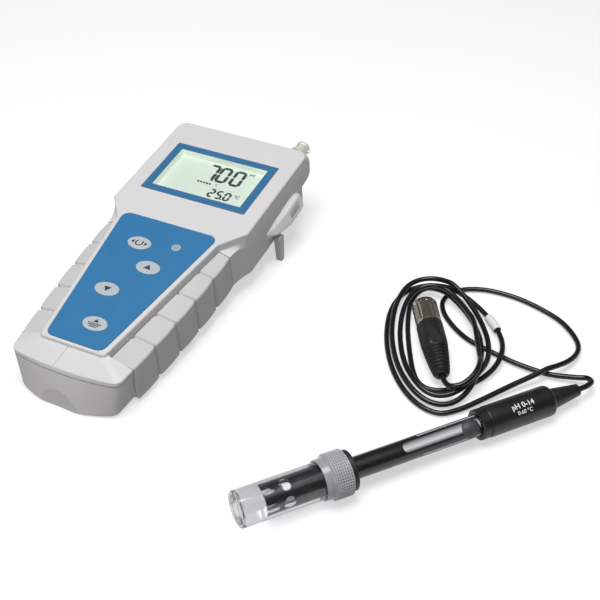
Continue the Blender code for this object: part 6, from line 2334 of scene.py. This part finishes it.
@dataclass
class Plug:
    """The plug on the cable's far end: a ribbed boot and a fluted nut."""

    radius: float = 0.008
    length: float = 0.0425
    plain: float = 0.0215
    edge: float = 0.0007
    edge_share: float = 0.3
    plain_start: float = 0.002
    ribs: int = 8
    # One rib: share of the pitch, and how far the profile is drawn in there
    rib: tuple[Point, ...] = (
        (0.0, 0.0005), (0.06, 0.0001), (0.14, 0.0), (0.46, 0.0),
        (0.54, 0.0001), (0.60, 0.0005), (0.95, 0.0005),
    )
    rib_radius: float = 0.0074
    tip_radius: float = 0.0034
    tip_edge: Point = (0.0004, 0.0006)
    bore: float = 0.0053
    bore_depth: float = 0.014
    flat_lead: float = 0.0005
    flat_length: float = 0.012
    flat_depth: float = 0.0013
    flat_wall: float = 0.0006
    nut_radius: float = 0.0078
    nut_bore: float = 0.0063
    nut_length: float = 0.0192
    nut_lip: float = 0.002
    nut_hole: float = 0.0054
    nut_edge: float = 0.0005
    flutes: int = 18
    flute_depth: float = 0.0004
    flute_start: Point = (0.0016, 0.0019)
    flute_end: Point = (0.0034, 0.0031)

    def build(self) -> list[Object]:
        """Builds the boot and the nut, and dresses the core and the pin.

        Returns:
            The pieces on the cable's end.
        """
        dress(NUT_METAL, "plug_core")
        dress(GOLD, "plug_pin")
        return [self.build_boot(), self.build_nut(), frame["nodes"]["plug_core"], frame["nodes"]["plug_pin"]]

    def build_boot(self) -> Object:
        """Builds the boot, with ribs towards the cable and a thumb flat on top.

        Returns:
            The boot.
        """
        radius, bore, tip, end = self.radius, self.bore, self.tip_radius, self.length
        ribbed, swell = end - self.plain, self.plain / 3
        pitch, floor, edge = ribbed / (self.ribs + 0.5), end - self.bore_depth, self.edge
        profile = [(0.0, floor), (bore, floor), (bore, end), (radius - edge, end)]
        soft = self.edge_share * edge
        profile += [(radius - soft, end - soft), (radius, end - edge)]
        profile += [(radius, float(z)) for z in np.linspace(end - self.plain_start, ribbed + swell, 16)]
        for z in np.linspace(ribbed + swell, ribbed, 7)[1:-1]:
            rise = sin((z - ribbed) / swell * QUARTER)
            profile.append((self.rib_radius + (radius - self.rib_radius) * rise, float(z)))
        for k in range(self.ribs):
            top = ribbed - k * pitch
            crest = tip + (self.rib_radius - tip) * sqrt(top / ribbed)
            profile += [(crest - draw, top - pitch * share) for share, draw in self.rib]
        profile += [(tip, self.tip_edge[1]), (tip - self.tip_edge[0], 0.0), (0.0, 0.0)]
        mesh = lathe(profile, 80)
        self.press_flat(mesh, ribbed)
        return piece("plug_boot", mesh, Body.ELECTRODE, RUBBER, LAYOUT.plug)

    def press_flat(self, mesh: BMesh, ribbed: float) -> None:
        """Presses a slanted flat into the top of the boot's plain part.

        Args:
            mesh: The boot's mesh.
            ribbed: Where the ribs begin.
        """
        for vert in mesh.verts:
            along = vert.co.z - ribbed
            limit = self.flat_depth * (1 - along / self.flat_length) - self.radius
            outside = hypot(vert.co.x, vert.co.y) > self.bore + self.flat_wall
            if -self.flat_lead < along < self.flat_length and outside and vert.co.y < limit:
                vert.co.y = limit

    def build_nut(self) -> Object:
        """Builds the fluted nut that turns on the plug.

        Returns:
            The nut.
        """
        low = self.length + GAP
        high, lip, deep = low + self.nut_length, low + self.nut_lip, self.flute_depth
        wide, bore, hole, edge = self.nut_radius, self.nut_bore, self.nut_hole, self.nut_edge
        rows = [(wide - edge, low, 0.0), (wide, low + edge, 0.0)]
        rows += [(wide, low + z, dip) for z, dip in zip(self.flute_start, (0.0, deep))]
        rows += [(wide, high - z, dip) for z, dip in zip(self.flute_end, (deep, 0.0))]
        rows += [(wide, high - edge, 0.0), (wide - edge, high, 0.0)]
        rows += [(bore, high, 0.0), (bore, lip, 0.0), (hole, lip, 0.0), (hole, low, 0.0)]
        rings = [circle(radius, z, 8 * self.flutes, self.flutes, dip) for radius, z, dip in rows]
        return piece("plug_nut", Skin().close(rings, True), Body.NUT, NUT_METAL)


# Studio


@dataclass
class Studio:
    """The camera, the pale floor and the soft lights."""

    eye: Point = (0.3058, -0.35406, 0.4414)
    target: Point = (0.0804, 0.12624, 0.0)
    lens: float = 66.0
    sensor: float = 36.0
    clip: Point = (0.01, 50.0)
    floor_z: float = -0.0004
    floor_size: float = 6.0
    paper: tuple[Colour, Colour] = ((0.93, 0.93, 0.935, 1), (0.95, 0.95, 0.95, 1))
    bounce: Colour = (0.28, 0.28, 0.29, 1)
    paper_glow: float = 1.20
    sky: float = 0.12
    aim: Point = (0.1, 0.08, 0.0)
    lights: tuple[tuple[str, Point, float, float], ...] = (
        ("key_light", (0.05, -0.05, 1.16), 0.8, 14.0),
        ("side_light", (0.62, 0.10, 0.92), 0.62, 0.4),
        ("front_light", (0.05, -0.90, 0.10), 0.6, 2.3),
    )

    def build(self) -> None:
        """Sets up the view, the floor and the lights."""
        self.build_camera()
        self.build_floor()
        self.build_lights()

    def place(self, data: bpy.types.ID, eye: Point, target: Point) -> Object:
        """Puts a camera or a light in the scene and turns it to a target.

        Args:
            data: The camera or the light.
            eye: Where it goes.
            target: What it faces.

        Returns:
            Its object.
        """
        owner = linked(data.name, data)
        owner.location = eye
        owner.rotation_euler = (Vector(target) - Vector(eye)).to_track_quat("-Z", "Y").to_euler()
        return owner

    def build_camera(self) -> None:
        """Places the camera at the photograph's angle."""
        data = bpy.data.cameras.new("camera")
        data.lens, data.sensor_width = self.lens, self.sensor
        data.clip_start, data.clip_end = self.clip
        bpy.context.scene.camera = self.place(data, self.eye, self.target)

    def build_floor(self) -> None:
        """Lays the floor, pale to the eye and darker as a reflector."""
        mesh = bmesh.new()
        bmesh.ops.create_grid(mesh, x_segments=8, y_segments=8, size=self.floor_size / 2)
        floor = linked("floor", mesh_data("floor", moved(mesh, (0, 0, self.floor_z))))
        material = bpy.data.materials.new("floor_paper")
        material.use_nodes = True
        material.node_tree.nodes.clear()
        sheet = NodeSheet(material.node_tree)
        light = sheet.add("ShaderNodeLightPath").outputs["Is Diffuse Ray"]
        noise = sheet.add("ShaderNodeTexNoise", {"Scale": 3.0, "Detail": 2.0})
        colour = sheet.blend(light, sheet.blend(noise.outputs[0], *self.paper), self.bounce)
        paper = sheet.add("ShaderNodeBsdfDiffuse", {"Color": colour})
        glow = sheet.add("ShaderNodeEmission", {"Color": colour, "Strength": self.paper_glow})
        shader = sheet.add("ShaderNodeMixShader", {0: 0.5, 1: paper.outputs[0], 2: glow.outputs[0]})
        sheet.add("ShaderNodeOutputMaterial", {"Surface": shader.outputs[0]})
        floor.data.materials.append(material)

    def build_lights(self) -> None:
        """Hangs the soft boxes and sets an even sky."""
        scene, world = bpy.context.scene, bpy.data.worlds.new("sky")
        world.use_nodes = True
        back = world.node_tree.nodes["Background"]
        back.inputs[0].default_value = (1.0, 1.0, 1.0, 1.0)
        back.inputs[1].default_value = self.sky
        scene.world = world
        scene.view_settings.view_transform = "Standard"
        for name, place, size, power in self.lights:
            data = bpy.data.lights.new(name, "AREA")
            data.shape = "DISK"
            data.size = size
            data.energy = power
            self.place(data, place, self.aim)


def main() -> None:
    """Builds the studio and the object, piece by piece."""
    logging.basicConfig(level=logging.INFO, format="%(message)s")
    Studio().build()
    Cable().build()
    keypad, display = Keypad(), Display()
    UpperCase(keypad, display).build()
    LowerCase().build()
    SideGrips().build()
    display.build()
    keypad.build()
    Socket().build()
    Stand().build()
    StorageBottle().build()
    Electrode().build()
    dress(BOARD, "main_board")
    dress(BLACK, "battery_tray", "switch_upper", "switch_second", "switch_third", "switch_lower")
    dress(STEEL, "contact_front", "contact_rear", *(f"case_screw_{k}" for k in range(1, 5)))
    dress(JACKET, *(f"battery_cell_{k}" for k in range(1, 5)))


if __name__ == "__main__":
    main()
